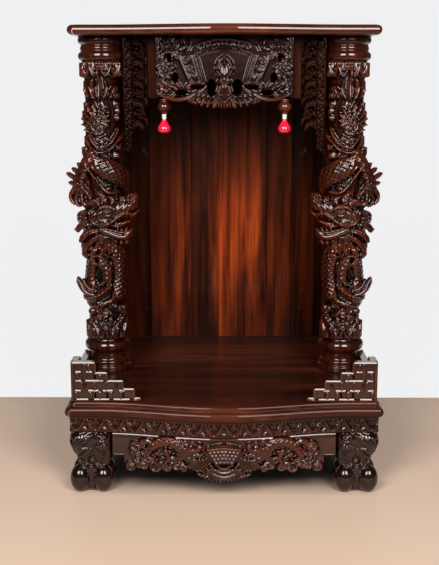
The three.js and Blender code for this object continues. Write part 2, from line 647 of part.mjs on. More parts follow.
// Turned drops under the frieze ends, each with a lamp socket and a red lamp.
function addDrops() {
  const knobTop = roofBottom - gap - friezeHeight - 4 - gap;
  const knobY = friezeFront + friezeThickness / 2;
  const knobProfile = [[0, -knobHeight], [0.4, -knobHeight], [0.62, -knobHeight * 0.86], [1, -knobHeight * 0.6],
    [1, -knobHeight * 0.42], [0.6, -knobHeight * 0.2], [0.72, -knobHeight * 0.1], [0.72, 0], [0, 0]];
  const socketTop = knobTop - knobHeight - gap;
  const bulbTop = socketTop - socketHeight - gap;
  const bulbProfile = [[0, -1], [0.55, -0.95], [0.92, -0.78], [1, -0.58], [0.78, -0.34], [0.34, 0], [0, 0]];
  for (const [side, name] of [[-1, 'left'], [1, 'right']]) {
    addPiece(`drop_knob_${name}`, turned(knobProfile.map(([r, h]) => [r * knobRadius, h]),
      side * knobX, knobY, knobTop), rosewood);
    addPiece(`lamp_socket_${name}`, turned([[0, -socketHeight], [socketRadius * 0.9, -socketHeight],
      [socketRadius, 0], [0, 0]], side * knobX, knobY, socketTop, 10), socketPlastic);
    addPiece(`lamp_bulb_${name}`, turned(bulbProfile.map(([r, h]) => [r * bulbRadius, h * bulbHeight]),
      side * knobX, knobY, bulbTop, 12), redGlass);
  }
}

addFloorBoard();
addRoofBoard();
addBand();
addLegs();
addAprons();
addRails();
addColumns();
addWalls();
addFrieze();
addFriezeSides();
addDrops();

export default group;
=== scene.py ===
# %% [markdown]
# # Household altar cabinet
# Every carved piece starts as a flat sheet of heights, drawn with a few carver's tools (cords, leaves, curls,
# rosettes, scales), and is then laid on its board or wrapped round its column. Sizes here are millimetres until
# a mesh is made; Blender gets metres.

# %% Load the frame
import math
import bpy
import numpy as np
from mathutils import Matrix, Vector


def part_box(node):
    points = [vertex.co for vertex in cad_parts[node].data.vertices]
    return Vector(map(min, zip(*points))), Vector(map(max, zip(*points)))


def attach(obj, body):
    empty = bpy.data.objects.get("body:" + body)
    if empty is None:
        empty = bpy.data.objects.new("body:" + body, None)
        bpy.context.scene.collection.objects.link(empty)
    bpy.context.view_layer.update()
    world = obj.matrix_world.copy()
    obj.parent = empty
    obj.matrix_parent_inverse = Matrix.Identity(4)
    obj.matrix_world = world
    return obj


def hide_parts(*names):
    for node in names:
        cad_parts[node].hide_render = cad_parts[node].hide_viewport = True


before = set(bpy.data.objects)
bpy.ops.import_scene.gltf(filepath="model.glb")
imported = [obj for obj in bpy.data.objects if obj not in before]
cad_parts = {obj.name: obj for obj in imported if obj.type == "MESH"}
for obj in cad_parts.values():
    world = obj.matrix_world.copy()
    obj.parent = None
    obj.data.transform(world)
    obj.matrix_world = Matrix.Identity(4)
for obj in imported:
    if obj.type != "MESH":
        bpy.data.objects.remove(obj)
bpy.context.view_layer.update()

MM = 0.001
PER_METRE = 1000.0


def node_box(name):
    """Lowest and highest corners of a CAD node, in millimetres."""
    low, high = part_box(name)
    return np.array(low) * PER_METRE, np.array(high) * PER_METRE


# %% [markdown]
# ## The camera
# Its place was solved from the edges of the boards, the rings of the columns and the feet: 2.08 m in front of the
# middle of the base, 0.77 m up and tipped down by 10.9 degrees.

# %% Camera
CAMERA_PLACE = (0.0, -2.077, 0.767)
CAMERA_DOWN = math.radians(10.86)
CAMERA_TURN = math.radians(0.277)
FOCAL_PIXELS = 991.0
PICTURE_WIDTH = 439.0
SENSOR_WIDTH = 36.0

camera_data = bpy.data.cameras.new("camera")
camera_data.sensor_fit = "HORIZONTAL"
camera_data.sensor_width = SENSOR_WIDTH
camera_data.lens = SENSOR_WIDTH * FOCAL_PIXELS / PICTURE_WIDTH
camera_data.clip_end = 50.0
camera = bpy.data.objects.new("camera", camera_data)
camera.location = CAMERA_PLACE
camera.rotation_euler = (math.radians(90.0) - CAMERA_DOWN, 0.0, CAMERA_TURN)
bpy.context.scene.collection.objects.link(camera)
bpy.context.scene.camera = camera

# %% [markdown]
# ## Meshes from arrays
# A carved face has tens of thousands of points, so its mesh is made from whole arrays of points and four-cornered
# faces, never point by point.

# %% Mesh helpers
triangle_count = {}


def add_mesh(name, points, quads, painted_shading=None, smooth=True, triangles=None):
    """Make an object from points in millimetres, quads and optional triangles."""
    points = np.asarray(points, dtype=np.float64).reshape(-1, 3)
    loops = [np.asarray(quads, dtype=np.int64).reshape(-1, 4)]
    sizes = [np.full(len(loops[0]), 4)]
    if triangles is not None and len(triangles):
        loops.append(np.asarray(triangles, dtype=np.int64).reshape(-1, 3))
        sizes.append(np.full(len(loops[1]), 3))
    corner = np.concatenate([part.ravel() for part in loops]).astype(np.int32)
    total = np.concatenate(sizes).astype(np.int32)
    mesh = bpy.data.meshes.new(name)
    mesh.vertices.add(len(points))
    mesh.vertices.foreach_set("co", (points * MM).astype(np.float32).ravel())
    mesh.loops.add(len(corner))
    mesh.loops.foreach_set("vertex_index", corner)
    mesh.polygons.add(len(total))
    mesh.polygons.foreach_set("loop_start", np.concatenate([[0], np.cumsum(total)[:-1]]).astype(np.int32))
    mesh.polygons.foreach_set("loop_total", total)
    mesh.update(calc_edges=True)
    mesh.validate()
    mesh.polygons.foreach_set("use_smooth", (total == 4) & smooth)
    # Per-point share of painted shade and painted highlight, read by the carved materials
    if painted_shading is not None:
        layer = mesh.attributes.new("painted_shading", "FLOAT", "POINT")
        layer.data.foreach_set("value", np.asarray(painted_shading, dtype=np.float32).ravel())
    piece = bpy.data.objects.new(name, mesh)
    bpy.context.scene.collection.objects.link(piece)
    triangle_count[name] = int((total - 2).sum())
    return piece


def grid_quads(rows, columns, wrap=False):
    """Quads of a grid of rows by columns; wrap joins the last column to the first."""
    across = columns if wrap else columns - 1
    row, column = np.meshgrid(np.arange(rows - 1), np.arange(across), indexing="ij")
    right = (column + 1) % columns
    a = row * columns + column
    b = row * columns + right
    return np.stack([a, b, b + columns, a + columns], axis=-1).reshape(-1, 4)


def end_fans(count, rows, first):
    """Triangles that close the first and the last ring of a wrapped grid. Point number first is the middle of the
    first ring, and the point after it is the middle of the last one."""
    ring = np.arange(count)
    last = ring + count * (rows - 1)
    return np.vstack([np.stack([np.full(count, first), np.roll(ring, -1), ring], 1),
                      np.stack([np.full(count, first + 1), last, np.roll(last, -1)], 1)])


def stand_for(piece, nodes, material):
    """Give a piece its body, the CAD nodes it stands for and its material."""
    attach(piece, "root")
    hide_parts(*nodes)
    piece.data.materials.clear()
    piece.data.materials.append(material)


# %% [markdown]
# ## Wood, lamp and room materials
# The wood is nearly black rosewood under thick gloss lacquer. Streaks run along the grain; the recesses of the
# carving are painted darker as painted shade and the high places lighter as painted highlights, from a shading
# attribute.

# %% Node helpers
def new_material(name):
    """A new material with its node tree and its shader."""
    material = bpy.data.materials.new(name)
    material.use_nodes = True
    tree = material.node_tree
    shader = tree.nodes["Principled BSDF"]
    return material, tree, shader


def add_node(tree, kind, **values):
    """Add a node and set its inputs by name, or its properties."""
    node = tree.nodes.new(kind)
    for key, value in values.items():
        if key in node.inputs:
            node.inputs[key].default_value = value
        else:
            setattr(node, key, value)
    return node


def ramp(tree, source, stops):
    """A colour ramp fed by a value, from (place, colour) stops."""
    node = tree.nodes.new("ShaderNodeValToRGB")
    elements = node.color_ramp.elements
    while len(elements) < len(stops):
        elements.new(0.5)
    for element, (place, colour) in zip(elements, stops):
        element.position = place
        element.color = (*colour, 1.0)
    tree.links.new(source, node.inputs["Fac"])
    return node.outputs["Color"]


def mix(tree, factor, first, second, blend="MIX"):
    """Mix two colours; the factor may be a number or a socket."""
    node = tree.nodes.new("ShaderNodeMix")
    node.data_type = "RGBA"
    node.blend_type = blend
    for socket, value in ((node.inputs["Factor"], factor), (node.inputs["A"], first),
                          (node.inputs["B"], second)):
        if isinstance(value, (int, float)):
            socket.default_value = value
        elif isinstance(value, tuple):
            socket.default_value = (*value, 1.0)
        else:
            tree.links.new(value, socket)
    return node.outputs["Result"]


def streaks(tree, along, scale, stretch, detail=6.0, offset=0.0, distortion=0.0):
    """Noise drawn out along one axis, which gives streaks in that direction."""
    where = add_node(tree, "ShaderNodeTexCoord")
    sizes = {"X": (stretch, 1, 1), "Y": (1, stretch, 1), "Z": (1, 1, stretch)}[along]
    mapping = add_node(tree, "ShaderNodeMapping")
    mapping.inputs["Scale"].default_value = tuple(scale * size for size in sizes)
    mapping.inputs["Location"].default_value = (offset, offset * 0.7, offset * 1.3)
    noise = add_node(tree, "ShaderNodeTexNoise", Scale=1.0, Detail=detail, Roughness=0.55,
                     Distortion=distortion)
    tree.links.new(where.outputs["Object"], mapping.inputs["Vector"])
    tree.links.new(mapping.outputs["Vector"], noise.inputs["Vector"])
    return noise.outputs["Fac"]


# %% Rosewood
def shaded_by(tree, colour, source, stops):
    """The colour multiplied by a ramp of some value."""
    return mix(tree, 1.0, colour, ramp(tree, source, stops), "MULTIPLY")


def surface(tree, shader, lines, smooth, rough, pores, strength):
    """Roughness that runs from smooth to rough along the lines of the grain, and shallow open pores."""
    spread = add_node(tree, "ShaderNodeMapRange")
    spread.inputs["To Min"].default_value = smooth
    spread.inputs["To Max"].default_value = rough
    tree.links.new(lines, spread.inputs["Value"])
    tree.links.new(spread.outputs["Result"], shader.inputs["Roughness"])
    bump = add_node(tree, "ShaderNodeBump", Strength=strength, Distance=0.0004)
    tree.links.new(pores, bump.inputs["Height"])
    tree.links.new(bump.outputs["Normal"], shader.inputs["Normal"])


def lacquer(shader, coat, coat_rough, sheen=0.22):
    """Thick clear lacquer: a red-tinted sheen from the wood under a thin, sharp gloss."""
    shader.inputs["IOR"].default_value = 1.42
    shader.inputs["Specular IOR Level"].default_value = sheen
    shader.inputs["Specular Tint"].default_value = (1.0, 0.60, 0.46, 1.0)
    shader.inputs["Coat Weight"].default_value = coat
    shader.inputs["Coat Roughness"].default_value = coat_rough
    shader.inputs["Coat IOR"].default_value = 1.5
    shader.inputs["Coat Tint"].default_value = (1.0, 0.95, 0.93, 1.0)


def rosewood(name, along, palette, seed, carved=False, gloss=0.16, figure=1.0, coat=0.85, sheen=0.22):
    """Lacquered rosewood with its grain along an axis. The palette is its dark, its middle and its light tone."""
    material, tree, shader = new_material(name)
    broad = streaks(tree, along, 9.0 * figure, 0.10, 4.0, seed, 0.6)
    fine = streaks(tree, along, 150.0, 0.035, 5.0, seed + 3.1)
    pores = streaks(tree, along, 620.0, 0.05, 2.0, seed + 5.3)
    colour = ramp(tree, broad, list(zip((0.30, 0.50, 0.70), palette)))
    colour = shaded_by(tree, colour, fine, [(0.36, (0.42, 0.34, 0.30)), (0.60, (1.0, 1.0, 1.0))])
    # Carved wood: painted shade in the recesses and painted highlights on the crests, from the shading share of each
    # point
    if carved:
        height = add_node(tree, "ShaderNodeAttribute", attribute_name="painted_shading").outputs["Fac"]
        colour = shaded_by(tree, colour, height, [(0.25, (0.02, 0.016, 0.016)), (0.45, (0.46, 0.44, 0.42)),
                                                  (0.80, (1.40, 1.25, 1.08))])
    tree.links.new(colour, shader.inputs["Base Color"])
    surface(tree, shader, fine, gloss + 0.12, gloss + 0.26, pores, 0.10)
    lacquer(shader, coat, gloss * 0.25, sheen)
    return material


RED_WOOD = ((0.016, 0.0034, 0.0018), (0.052, 0.0100, 0.0042), (0.105, 0.0215, 0.0074))
LEG_WOOD = ((0.008, 0.0022, 0.0014), (0.030, 0.0068, 0.0036), (0.055, 0.0125, 0.0060))
POST_WOOD = ((0.005, 0.0013, 0.0008), (0.018, 0.0038, 0.0019), (0.038, 0.0082, 0.0034))
# The wings' palette is darker as painted shade
SHADED_WING_WOOD = ((0.005, 0.0012, 0.0007), (0.017, 0.0034, 0.0017), (0.038, 0.0082, 0.0036))
FRIEZE_WOOD = ((0.010, 0.0024, 0.0014), (0.038, 0.0078, 0.0036), (0.085, 0.0175, 0.0066))
FLOOR_WOOD = ((0.008, 0.0022, 0.0014), (0.044, 0.0094, 0.0046), (0.105, 0.0235, 0.0095))

wood_across = rosewood("rosewood_across", "X", RED_WOOD, 1.7)
wood_deep = rosewood("rosewood_deep", "Y", RED_WOOD, 4.4)
wood_upright = rosewood("rosewood_upright", "Z", RED_WOOD, 2.3)
carved_across = rosewood("carved_across", "X", RED_WOOD, 6.1, carved=True, gloss=0.10)
carved_upright = rosewood("carved_upright", "Z", RED_WOOD, 8.2, carved=True, gloss=0.10)
carved_legs = rosewood("carved_legs", "Z", LEG_WOOD, 3.3, carved=True, gloss=0.08)
wood_posts = rosewood("rosewood_posts", "Z", POST_WOOD, 7.5, coat=0.0, sheen=0.05)
carved_wings = rosewood("carved_wings", "Z", SHADED_WING_WOOD, 9.3, carved=True, gloss=0.10, coat=0.04, sheen=0.05)
carved_frieze = rosewood("carved_frieze", "X", FRIEZE_WOOD, 4.8, carved=True, gloss=0.08, coat=0.62)
wood_floor = rosewood("rosewood_floor", "X", FLOOR_WOOD, 5.5, gloss=0.15, figure=1.6, coat=0.16)

# %% [markdown]
# ## The carver's tools
# A `Carving` is a sheet of ground, `u` across and `v` up, in millimetres. `height` is how far the wood stands
# off the ground at each point, and `cover` is how far the point lies inside the wood, so that holes and the
# outline can be cut along cover = 0.

# %% Carving sheet
class Carving:
    """A grid of heights and covers. A sheet with around joins its left edge to its right one."""
    def __init__(self, left, right, low, high, step, around=0.0):
        self.step = step
        self.around = around
        if around:
            count = int(round(around / step))
            self.us = left + np.arange(count) * (around / count)
        else:
            self.us = np.linspace(left, right, max(2, int(round((right - left) / step)) + 1))
        self.vs = np.linspace(low, high, max(2, int(round((high - low) / step)) + 1))
        self.U, self.V = np.meshgrid(self.us, self.vs)
        self.height = np.zeros_like(self.U)
        self.cover = np.full_like(self.U, -40.0)

    def window(self, left, right, low, high):
        """The part of the sheet inside a box, as slices, or None."""
        i = np.searchsorted(self.us, (left, right))
        j = np.searchsorted(self.vs, (low, high))
        if i[0] >= i[1] or j[0] >= j[1]:
            return None
        return slice(j[0], j[1]), slice(i[0], i[1])

    def shifts(self):
        """Where a motif is repeated, so that it runs on over the joint."""
        return (-self.around, 0.0, self.around) if self.around else (0.0,)

    def put(self, area, height, inside, cover):
        """Keep the higher of the old and the new wood where the tool cuts."""
        old = self.height[area]
        self.height[area] = np.where(inside, np.maximum(old, height), old)
        self.cover[area] = np.maximum(self.cover[area], cover)


def curve(points, count=0):
    """A smooth curve through points (Catmull-Rom)."""
    points = np.asarray(points, dtype=float)
    if len(points) < 3:
        return points
    count = count or 6 * (len(points) - 1)
    padded = np.vstack([2 * points[0] - points[1], points, 2 * points[-1] - points[-2]])
    place = np.linspace(0, len(points) - 1, count + 1)
    index = np.minimum(place.astype(int), len(points) - 2)
    t = (place - index)[:, None]
    a, b, c, d = (padded[index + k] for k in range(4))
    return 0.5 * (2 * b + (c - a) * t + (2 * a - 5 * b + 4 * c - d) * t ** 2 + (3 * b - a - 3 * c + d)
                  * t ** 3)


def nearest(sheet, path, reach):
    """For each copy of the path on the sheet: the window, the share along the path, the signed offset from it
    and the distance to it."""
    path = np.asarray(path, dtype=float)
    steps = np.diff(path, axis=0)
    lengths = np.hypot(steps[:, 0], steps[:, 1]) + 1e-9
    reached = np.concatenate([[0], np.cumsum(lengths)])
    for shift in sheet.shifts():
        area = sheet.window(path[:, 0].min() + shift - reach, path[:, 0].max() + shift + reach,
                            path[:, 1].min() - reach, path[:, 1].max() + reach)
        if area is None:
            continue
        u, v = sheet.U[area] - shift, sheet.V[area]
        best = np.full(u.shape, 1e9)
        share, side = np.zeros(u.shape), np.zeros(u.shape)
        for k in range(len(steps)):
            du, dv = u - path[k, 0], v - path[k, 1]
            f = np.clip((du * steps[k, 0] + dv * steps[k, 1]) / lengths[k] ** 2, 0, 1)
            eu, ev = du - f * steps[k, 0], dv - f * steps[k, 1]
            distance = eu * eu + ev * ev
            closer = distance < best
            best = np.where(closer, distance, best)
            share = np.where(closer, (reached[k] + f * lengths[k]) / reached[-1], share)
            side = np.where(closer, np.sign(steps[k, 0] * dv - steps[k, 1] * du), side)
        distance = np.sqrt(best)
        yield area, share, distance * side, distance


# %% Cords, leaves and curls
def cord(sheet, path, width, rise, base=0.0, start=0.35, end=0.35, groove=0.0, covers=True):
    """A rounded cord along a path. Its half-width runs from start*width to width to end*width."""
    path = curve(path)
    for area, share, side, distance in nearest(sheet, path, width):
        half = width * (1 - (1 - start) * np.clip(1 - share * 4, 0, 1) ** 2 - (1 - end)
                        * np.clip(share * 4 - 3, 0, 1) ** 2)
        r = distance / half
        height = base + rise * np.sqrt(np.clip(1 - r * r, 0, 1))
        if groove:
            height = height - groove * np.exp(-(side / (0.22 * width)) ** 2)
        sheet.put(area, height, r < 1, half - distance if covers else -40.0)


def leaf(sheet, path, width, rise, base=0.0, ribs=5, cup=0.45, lean=0.35, point=0.75, vein=0.3):
    """A carved leaf: widest past its root, with a raised rim, a vein and ribs that slant to the edge."""
    path = curve(path)
    for area, share, side, distance in nearest(sheet, path, width):
        half = width * np.maximum(np.sin(np.pi * np.clip(share, 0, 1) ** point) ** 0.8, 0.02)
        half = np.where(share >= 0.999, 0.02, half)
        r = np.clip(np.abs(side) / half, 0, 1.5)
        inside = (distance < half) & (r < 1)
        bowl = (1 - cup) + cup * np.clip(r, 0, 1) ** 2
        edge = np.clip((1 - r) / 0.22, 0, 1) ** 0.5
        ripple = 1 + 0.16 * np.cos(2 * np.pi * (share * ribs - lean * r))
        spine = vein * np.exp(-(side / (0.16 * width + 0.3)) ** 2)
        height = base + rise * edge * (bowl * ripple + spine)
        sheet.put(area, height, inside, np.where(share < 0.999, half - distance, -distance))


def curl_path(centre, radius, turns, begin, hand=1, tail=0.18, steps=26):
    """A spiral that winds in from its outer radius."""
    t = np.linspace(0, 1, steps)
    angle = begin + hand * 2 * np.pi * turns * t
    r = radius * (1 - (1 - tail) * t)
    return np.stack([centre[0] + r * np.cos(angle), centre[1] + r * np.sin(angle)], axis=1)


def curl(sheet, centre, radius, turns, begin, width, rise, hand=1, base=0.0, fill=True):
    """A rolled curl over a low round ground, with a bead at its heart."""
    if fill:
        dome(sheet, centre, radius + width * 0.6, radius + width * 0.6, rise * 0.45, base)
    path = curl_path(centre, radius, turns, begin, hand)
    for area, share, side, distance in nearest(sheet, path, width):
        half = width * (1 - 0.35 * share)
        r = distance / half
        sheet.put(area, base + rise * (0.25 + 0.75 * np.sqrt(np.clip(1 - r * r, 0, 1))), r < 1,
                  half - distance)
    dome(sheet, path[-1], width * 0.9, width * 0.9, rise, base)


def dome(sheet, centre, ru, rv, rise, base=0.0):
    """A rounded boss on an oval foot."""
    for shift in sheet.shifts():
        area = sheet.window(centre[0] + shift - ru, centre[0] + shift + ru, centre[1] - rv, centre[1] + rv)
        if area is None:
            continue
        r = np.hypot((sheet.U[area] - shift - centre[0]) / ru, (sheet.V[area] - centre[1]) / rv)
        height = base + rise * np.clip(1 - r * r, 0, 1) ** 0.5
        sheet.put(area, height, r < 1, (1 - r) * min(ru, rv))


def rosette(sheet, centre, radius, petals, rise, base=0.0, turn=0.0, rings=2):
    """A flower of rings of petals round a domed heart, the inner rings higher."""
    for shift in sheet.shifts():
        area = sheet.window(centre[0] + shift - radius, centre[0] + shift + radius, centre[1] - radius,
                            centre[1] + radius)
        if area is None:
            continue
        du, dv = sheet.U[area] - shift - centre[0], sheet.V[area] - centre[1]
        r, angle = np.hypot(du, dv), np.arctan2(dv, du)
        for ring in range(rings):
            size = radius * (1 - 0.36 * ring)
            lobe = np.abs(np.cos((angle + turn + ring * np.pi / petals) * petals / 2))
            outline = size * (0.72 + 0.28 * lobe ** 0.6)
            q = r / outline
            petal = (0.35 + 0.65 * np.clip(q, 0, 1) ** 1.5) * (0.55 + 0.45 * lobe) * np.clip((1 - q) / 0.15,
                                                                                             0, 1) ** 0.5
            height = base + rise * (0.55 + 0.22 * ring) * petal
            sheet.put(area, height, q < 1, outline - r)
        q = r / (radius * 0.26)
        height = base + rise * (0.8 + 0.35 * np.sqrt(np.clip(1 - q * q, 0, 1)))
        sheet.put(area, height, q < 1, radius * 0.26 - r)


SCALE_LONG, SCALE_WIDE, SCALE_PITCH = 0.50, 0.46, 1.4


def scale_field(a, b):
    """Domed scales in staggered rows: a runs along the body in scale lengths, b across in scale widths. 0 in the
    gaps, 1 on each dome."""
    result = np.zeros_like(a)
    for shift in (0.0, 0.5):
        along = a - np.round(a - shift) - shift
        across = b - np.round(b - shift) - shift
        r = (along / SCALE_LONG) ** 2 + (across / SCALE_WIDE) ** 2
        result = np.maximum(result, np.sqrt(np.clip(1 - r, 0, 1)))
    return result


def scaled_body(sheet, path, width, rise, size, bite=2.0, base=0.0, start=1.0, end=1.0, spine=0.0):
    """A round dragon body along a path, covered in scales, with a notched spine if wanted."""
    path = curve(path)
    length = np.hypot(*np.diff(path, axis=0).T).sum()
    for area, share, side, distance in nearest(sheet, path, width * 1.02):
        half = width * (start + (1 - start) * np.clip(share * 3, 0, 1)) * (end + (1 - end)
                                                                           * np.clip(3 - share * 3, 0, 1))
        r = side / half
        bulge = np.sqrt(np.clip(1 - r * r, 0, 1))
        around = np.arcsin(np.clip(r, -1, 1)) * half
        scales = scale_field(share * length / (SCALE_PITCH * size), around / (SCALE_PITCH * size))
        height = base + rise * bulge + bite * (scales - 0.5) * np.clip(bulge * 2, 0, 1)
        if spine:
            ridge = np.clip(1 - np.abs(r - 0.72) / 0.16, 0, 1)
            height = height + spine * ridge * (0.55 + 0.45
                                               * np.cos(2 * np.pi * share * length / (size * 1.2)))
        sheet.put(area, height, distance < half, half - distance)


def gouges(u, v, spacing, seed=0.0, slant=0.35):
    """Long licking gouge lines, 0 in the cut and 1 on the ridge: a sine across the run, bent by two slower sines."""
    bend = 0.9 * spacing * np.sin(v / (2.1 * spacing) + 1.6 * np.sin(u / (2.7 * spacing) + seed))
    phase = (u + slant * v + bend) / spacing + 0.7 * np.sin(v / (3.3 * spacing) + seed)
    return np.abs(np.sin(np.pi * phase)) ** 0.6 * (0.72 + 0.28
                                                   * np.sin(v / (1.3 * spacing) + 2.0
                                                            * np.sin(u / (1.9 * spacing))))


def both_sides(tool, sheet, path, *values, **named):
    """Cut the same motif on the left and, mirrored about u = 0, on the right."""
    tool(sheet, path, *values, **named)
    tool(sheet, [(-u, v) for u, v in path], *values, **named)


# %% Surfaces from a sheet
def soften(field, wrap=False):
    """A light sanding: each height moves half-way to the mean of its neighbours."""
    padded = np.pad(field, ((1, 1), (0, 0)), mode="edge")
    padded = np.pad(padded, ((0, 0), (1, 1)), mode="wrap" if wrap else "edge")
    mean = (padded[:-2, 1:-1] + padded[2:, 1:-1] + padded[1:-1, :-2] + padded[1:-1, 2:]) / 4
    return 0.5 * field + 0.5 * mean


def hollows(height, reach, wrap=False, depth=2.5):
    """How far each point stands above the mean of its neighbours, as a share: 0 in a cut, 0.45 on the flat and 1 on
    a crest. The mean is a box blur, made with running sums. The carved materials paint shade in the cuts and
    highlights on the crests from this share."""
    mean = height
    for axis in (0, 1):
        pads = [(reach + 1, reach) if a == axis else (0, 0) for a in (0, 1)]
        sums = np.cumsum(np.pad(mean, pads, mode="wrap" if wrap and axis == 1 else "edge"), axis=axis)
        size = 2 * reach + 1
        late = np.take(sums, np.arange(size, sums.shape[axis]), axis=axis)
        soon = np.take(sums, np.arange(0, sums.shape[axis] - size), axis=axis)
        mean = (late - soon) / size
    return np.clip(0.45 + (height - mean) / (2 * depth), 0, 1)


# %% [markdown]
# ## Boards with the serpentine front
# Roof and floor are thick boards whose front swings out in the middle. A joiner saws that curve to a template and
# rounds the edge with planes and scrapers. Here a board is a stack of outlines, and each is drawn in a little by the
# round of the nose, so the nose keeps its shape all along the curve.

# %% Sizes shared by the pieces
floor_low, floor_high = node_box("floor_board")
roof_low, roof_high = node_box("roof_board")
HALF = floor_high[0]
FLOOR_TOP = round(floor_high[2])
ROOF_BOTTOM = roof_low[2]
BACK = floor_high[1]
BOW = 36.0
BOW_HALF = 250.0
CORNER_FRONT = floor_low[1] + BOW


def swell(x):
    """How far the serpentine front stands forward at x: a raised cosine 36 mm high and 500 mm wide."""
    share = np.minimum(np.abs(x) / BOW_HALF, 1)
    return BOW * 0.5 * (1 + np.cos(np.pi * share))


def board(name, half, front, back, levels, corner):
    """A board from (inset, height) levels, with the serpentine front and softly rounded corners."""
    across = np.linspace(-1, 1, 121)
    rings = []
    for inset, z in levels:
        w = half - inset
        x = across * (w - corner)
        ring = [(px, front - swell(px) + inset) for px in x]
        for cx, cy, begin in ((w - corner, front + inset + corner, -90),
                              (w - corner, back - inset - corner, 0),
                              (-w + corner, back - inset - corner, 90),
                              (-w + corner, front + inset + corner, 180)):
            for turn in np.linspace(begin, begin + 90, 7)[1 if begin in (-90, 180) else 0:]:
                angle = math.radians(turn)
                ring.append((cx + corner * math.cos(angle), cy + corner * math.sin(angle)))
        rings.append([(px, py, z) for px, py in ring])
    rings = np.array(rings)
    count = rings.shape[1]
    quads = grid_quads(len(levels), count, wrap=True)
    points = rings.reshape(-1, 3)
    centre_low, centre_high = rings[0].mean(0), rings[-1].mean(0)
    points = np.vstack([points, centre_low, centre_high])
    return add_mesh(name, points, quads, triangles=end_fans(count, len(levels), len(points) - 2))


def nose(depth, low, high, steps=13):
    """Half-round edge: inset = depth*(1 - cos t), height from low to high."""
    turns = np.linspace(-math.pi / 2, math.pi / 2, steps)
    middle, reach = (low + high) / 2, (high - low) / 2
    return [(depth * (1 - math.cos(t)), middle + reach * math.sin(t)) for t in turns]


# %% Roof board
roof_levels = nose(9.0, ROOF_BOTTOM, roof_high[2])
roof = board("roof_piece", roof_high[0], roof_low[1] + BOW, roof_high[1], roof_levels, 7.0)
stand_for(roof, ["roof_board"], wood_across)

# %% Floor board
nose_top = floor_low[2] + 20.0
floor_levels = nose(8.0, floor_low[2], nose_top)
floor_levels += [(8.4, nose_top + 0.6), (8.6, nose_top + 2.0), (8.8, floor_high[2] - 2.0),
                 (10.4, floor_high[2] - 0.4), (12.0, floor_high[2])]
floor_piece = board("floor_piece", HALF, CORNER_FRONT, BACK, floor_levels, 6.0)
stand_for(floor_piece, ["floor_board"], wood_floor)
print("boards:", triangle_count)

# %% [markdown]
# ## Dragon columns
# Each column is one log. A carver turns its rings on a lathe first, then draws the dragon round the shaft and cuts
# the ground away between its coils. Here the carving is drawn on a sheet that is unrolled from the shaft: `u`
# runs round the column, from the front towards the inside of the cabinet, and `v` is the height above the floor
# board. The left column is made first and the right one is its mirror image.

# %% Column sheet
NICHE = ROOF_BOTTOM - FLOOR_TOP
COLUMN_X, COLUMN_Y = 249.0, -15.0
RING = 48.0
SHAFT = 34.0
UNROLL = 44.0
ROUND = 2 * math.pi * UNROLL
FOOT_TOP = 69.0
# Distance between points of the log's sheet on the shaft and on the rings, and the gap left at both ends
LOG_PITCH, RING_PITCH, GAP = 1.6, 1.05, 0.3
HEAD_BOTTOM = NICHE - 48.0


def around(x):
    """Place round the unrolled shaft of a point seen x to the side of the axis."""
    return UNROLL * math.asin(max(-1.0, min(1.0, x / UNROLL)))


def seen(points):
    """Turn points measured from the front into points of the unrolled sheet."""
    return [(around(x), v) for x, v in points]


FOOT_RINGS = [(0, 0.99), (1.5, 1.02), (7, 1.03), (12, 1.02), (13.5, 0.98), (14.5, 0.93), (17, 0.955),
              (20, 0.96), (23, 0.95), (24.5, 0.92), (27, 0.87), (34, 0.84), (40, 0.845), (43, 0.88),
              (44.5, 0.93), (48, 0.985), (53, 1.01), (58, 1.0), (62, 0.96), (65, 0.90), (67, 0.86),
              (69, 0.84)]
HEAD_RINGS = [(48, 0.84), (46, 0.90), (44, 0.955), (41, 0.99), (37, 1.01), (33, 0.995), (30, 0.955),
              (28.5, 0.91), (26.5, 0.885), (24.5, 0.905), (22, 0.915), (19.5, 0.905), (18, 0.885),
              (16, 0.875), (14, 0.89), (12.5, 0.95), (9.5, 0.99), (5.5, 1.005), (2, 0.995), (0, 0.97)]


def ring_profile(v):
    """Radius of the turned log at height v: rings at the foot and the head, a plain shaft between."""
    heights = [h for h, share in FOOT_RINGS] + [NICHE - down for down, share in HEAD_RINGS]
    radii = [RING * share for h, share in FOOT_RINGS] + [RING * share for down, share in HEAD_RINGS]
    turned = np.interp(v, heights, radii)
    shaft = (v > FOOT_TOP) & (v < HEAD_BOTTOM)
    return np.where(shaft, SHAFT, turned)


log = Carving(-ROUND / 2, ROUND / 2, GAP, NICHE - GAP, LOG_PITCH, around=ROUND)
log.vs = np.concatenate([np.arange(GAP, FOOT_TOP, RING_PITCH), np.arange(FOOT_TOP, HEAD_BOTTOM, LOG_PITCH),
                         np.linspace(HEAD_BOTTOM, NICHE - GAP, 46)])
log.U, log.V = np.meshgrid(log.us, log.vs)
log.cover = np.full_like(log.U, -40.0)

# %% Cut ground of the shaft
log.height = 3.0 * gouges(log.U, log.V, ROUND / 24, 1.3) * ((log.V > 60) & (log.V < HEAD_BOTTOM + 4))
for x, v, wide, tall in ((24, 512, 16, 26), (22, 598, 16, 20), (-28, 602, 14, 16)):
    smooth = ((log.U - around(x)) / wide) ** 2 + ((log.V - v) / tall) ** 2
    log.height = log.height * np.clip(4 * smooth - 3, 0, 1) + 1.5 * np.clip(4 - 4 * smooth, 0, 1)

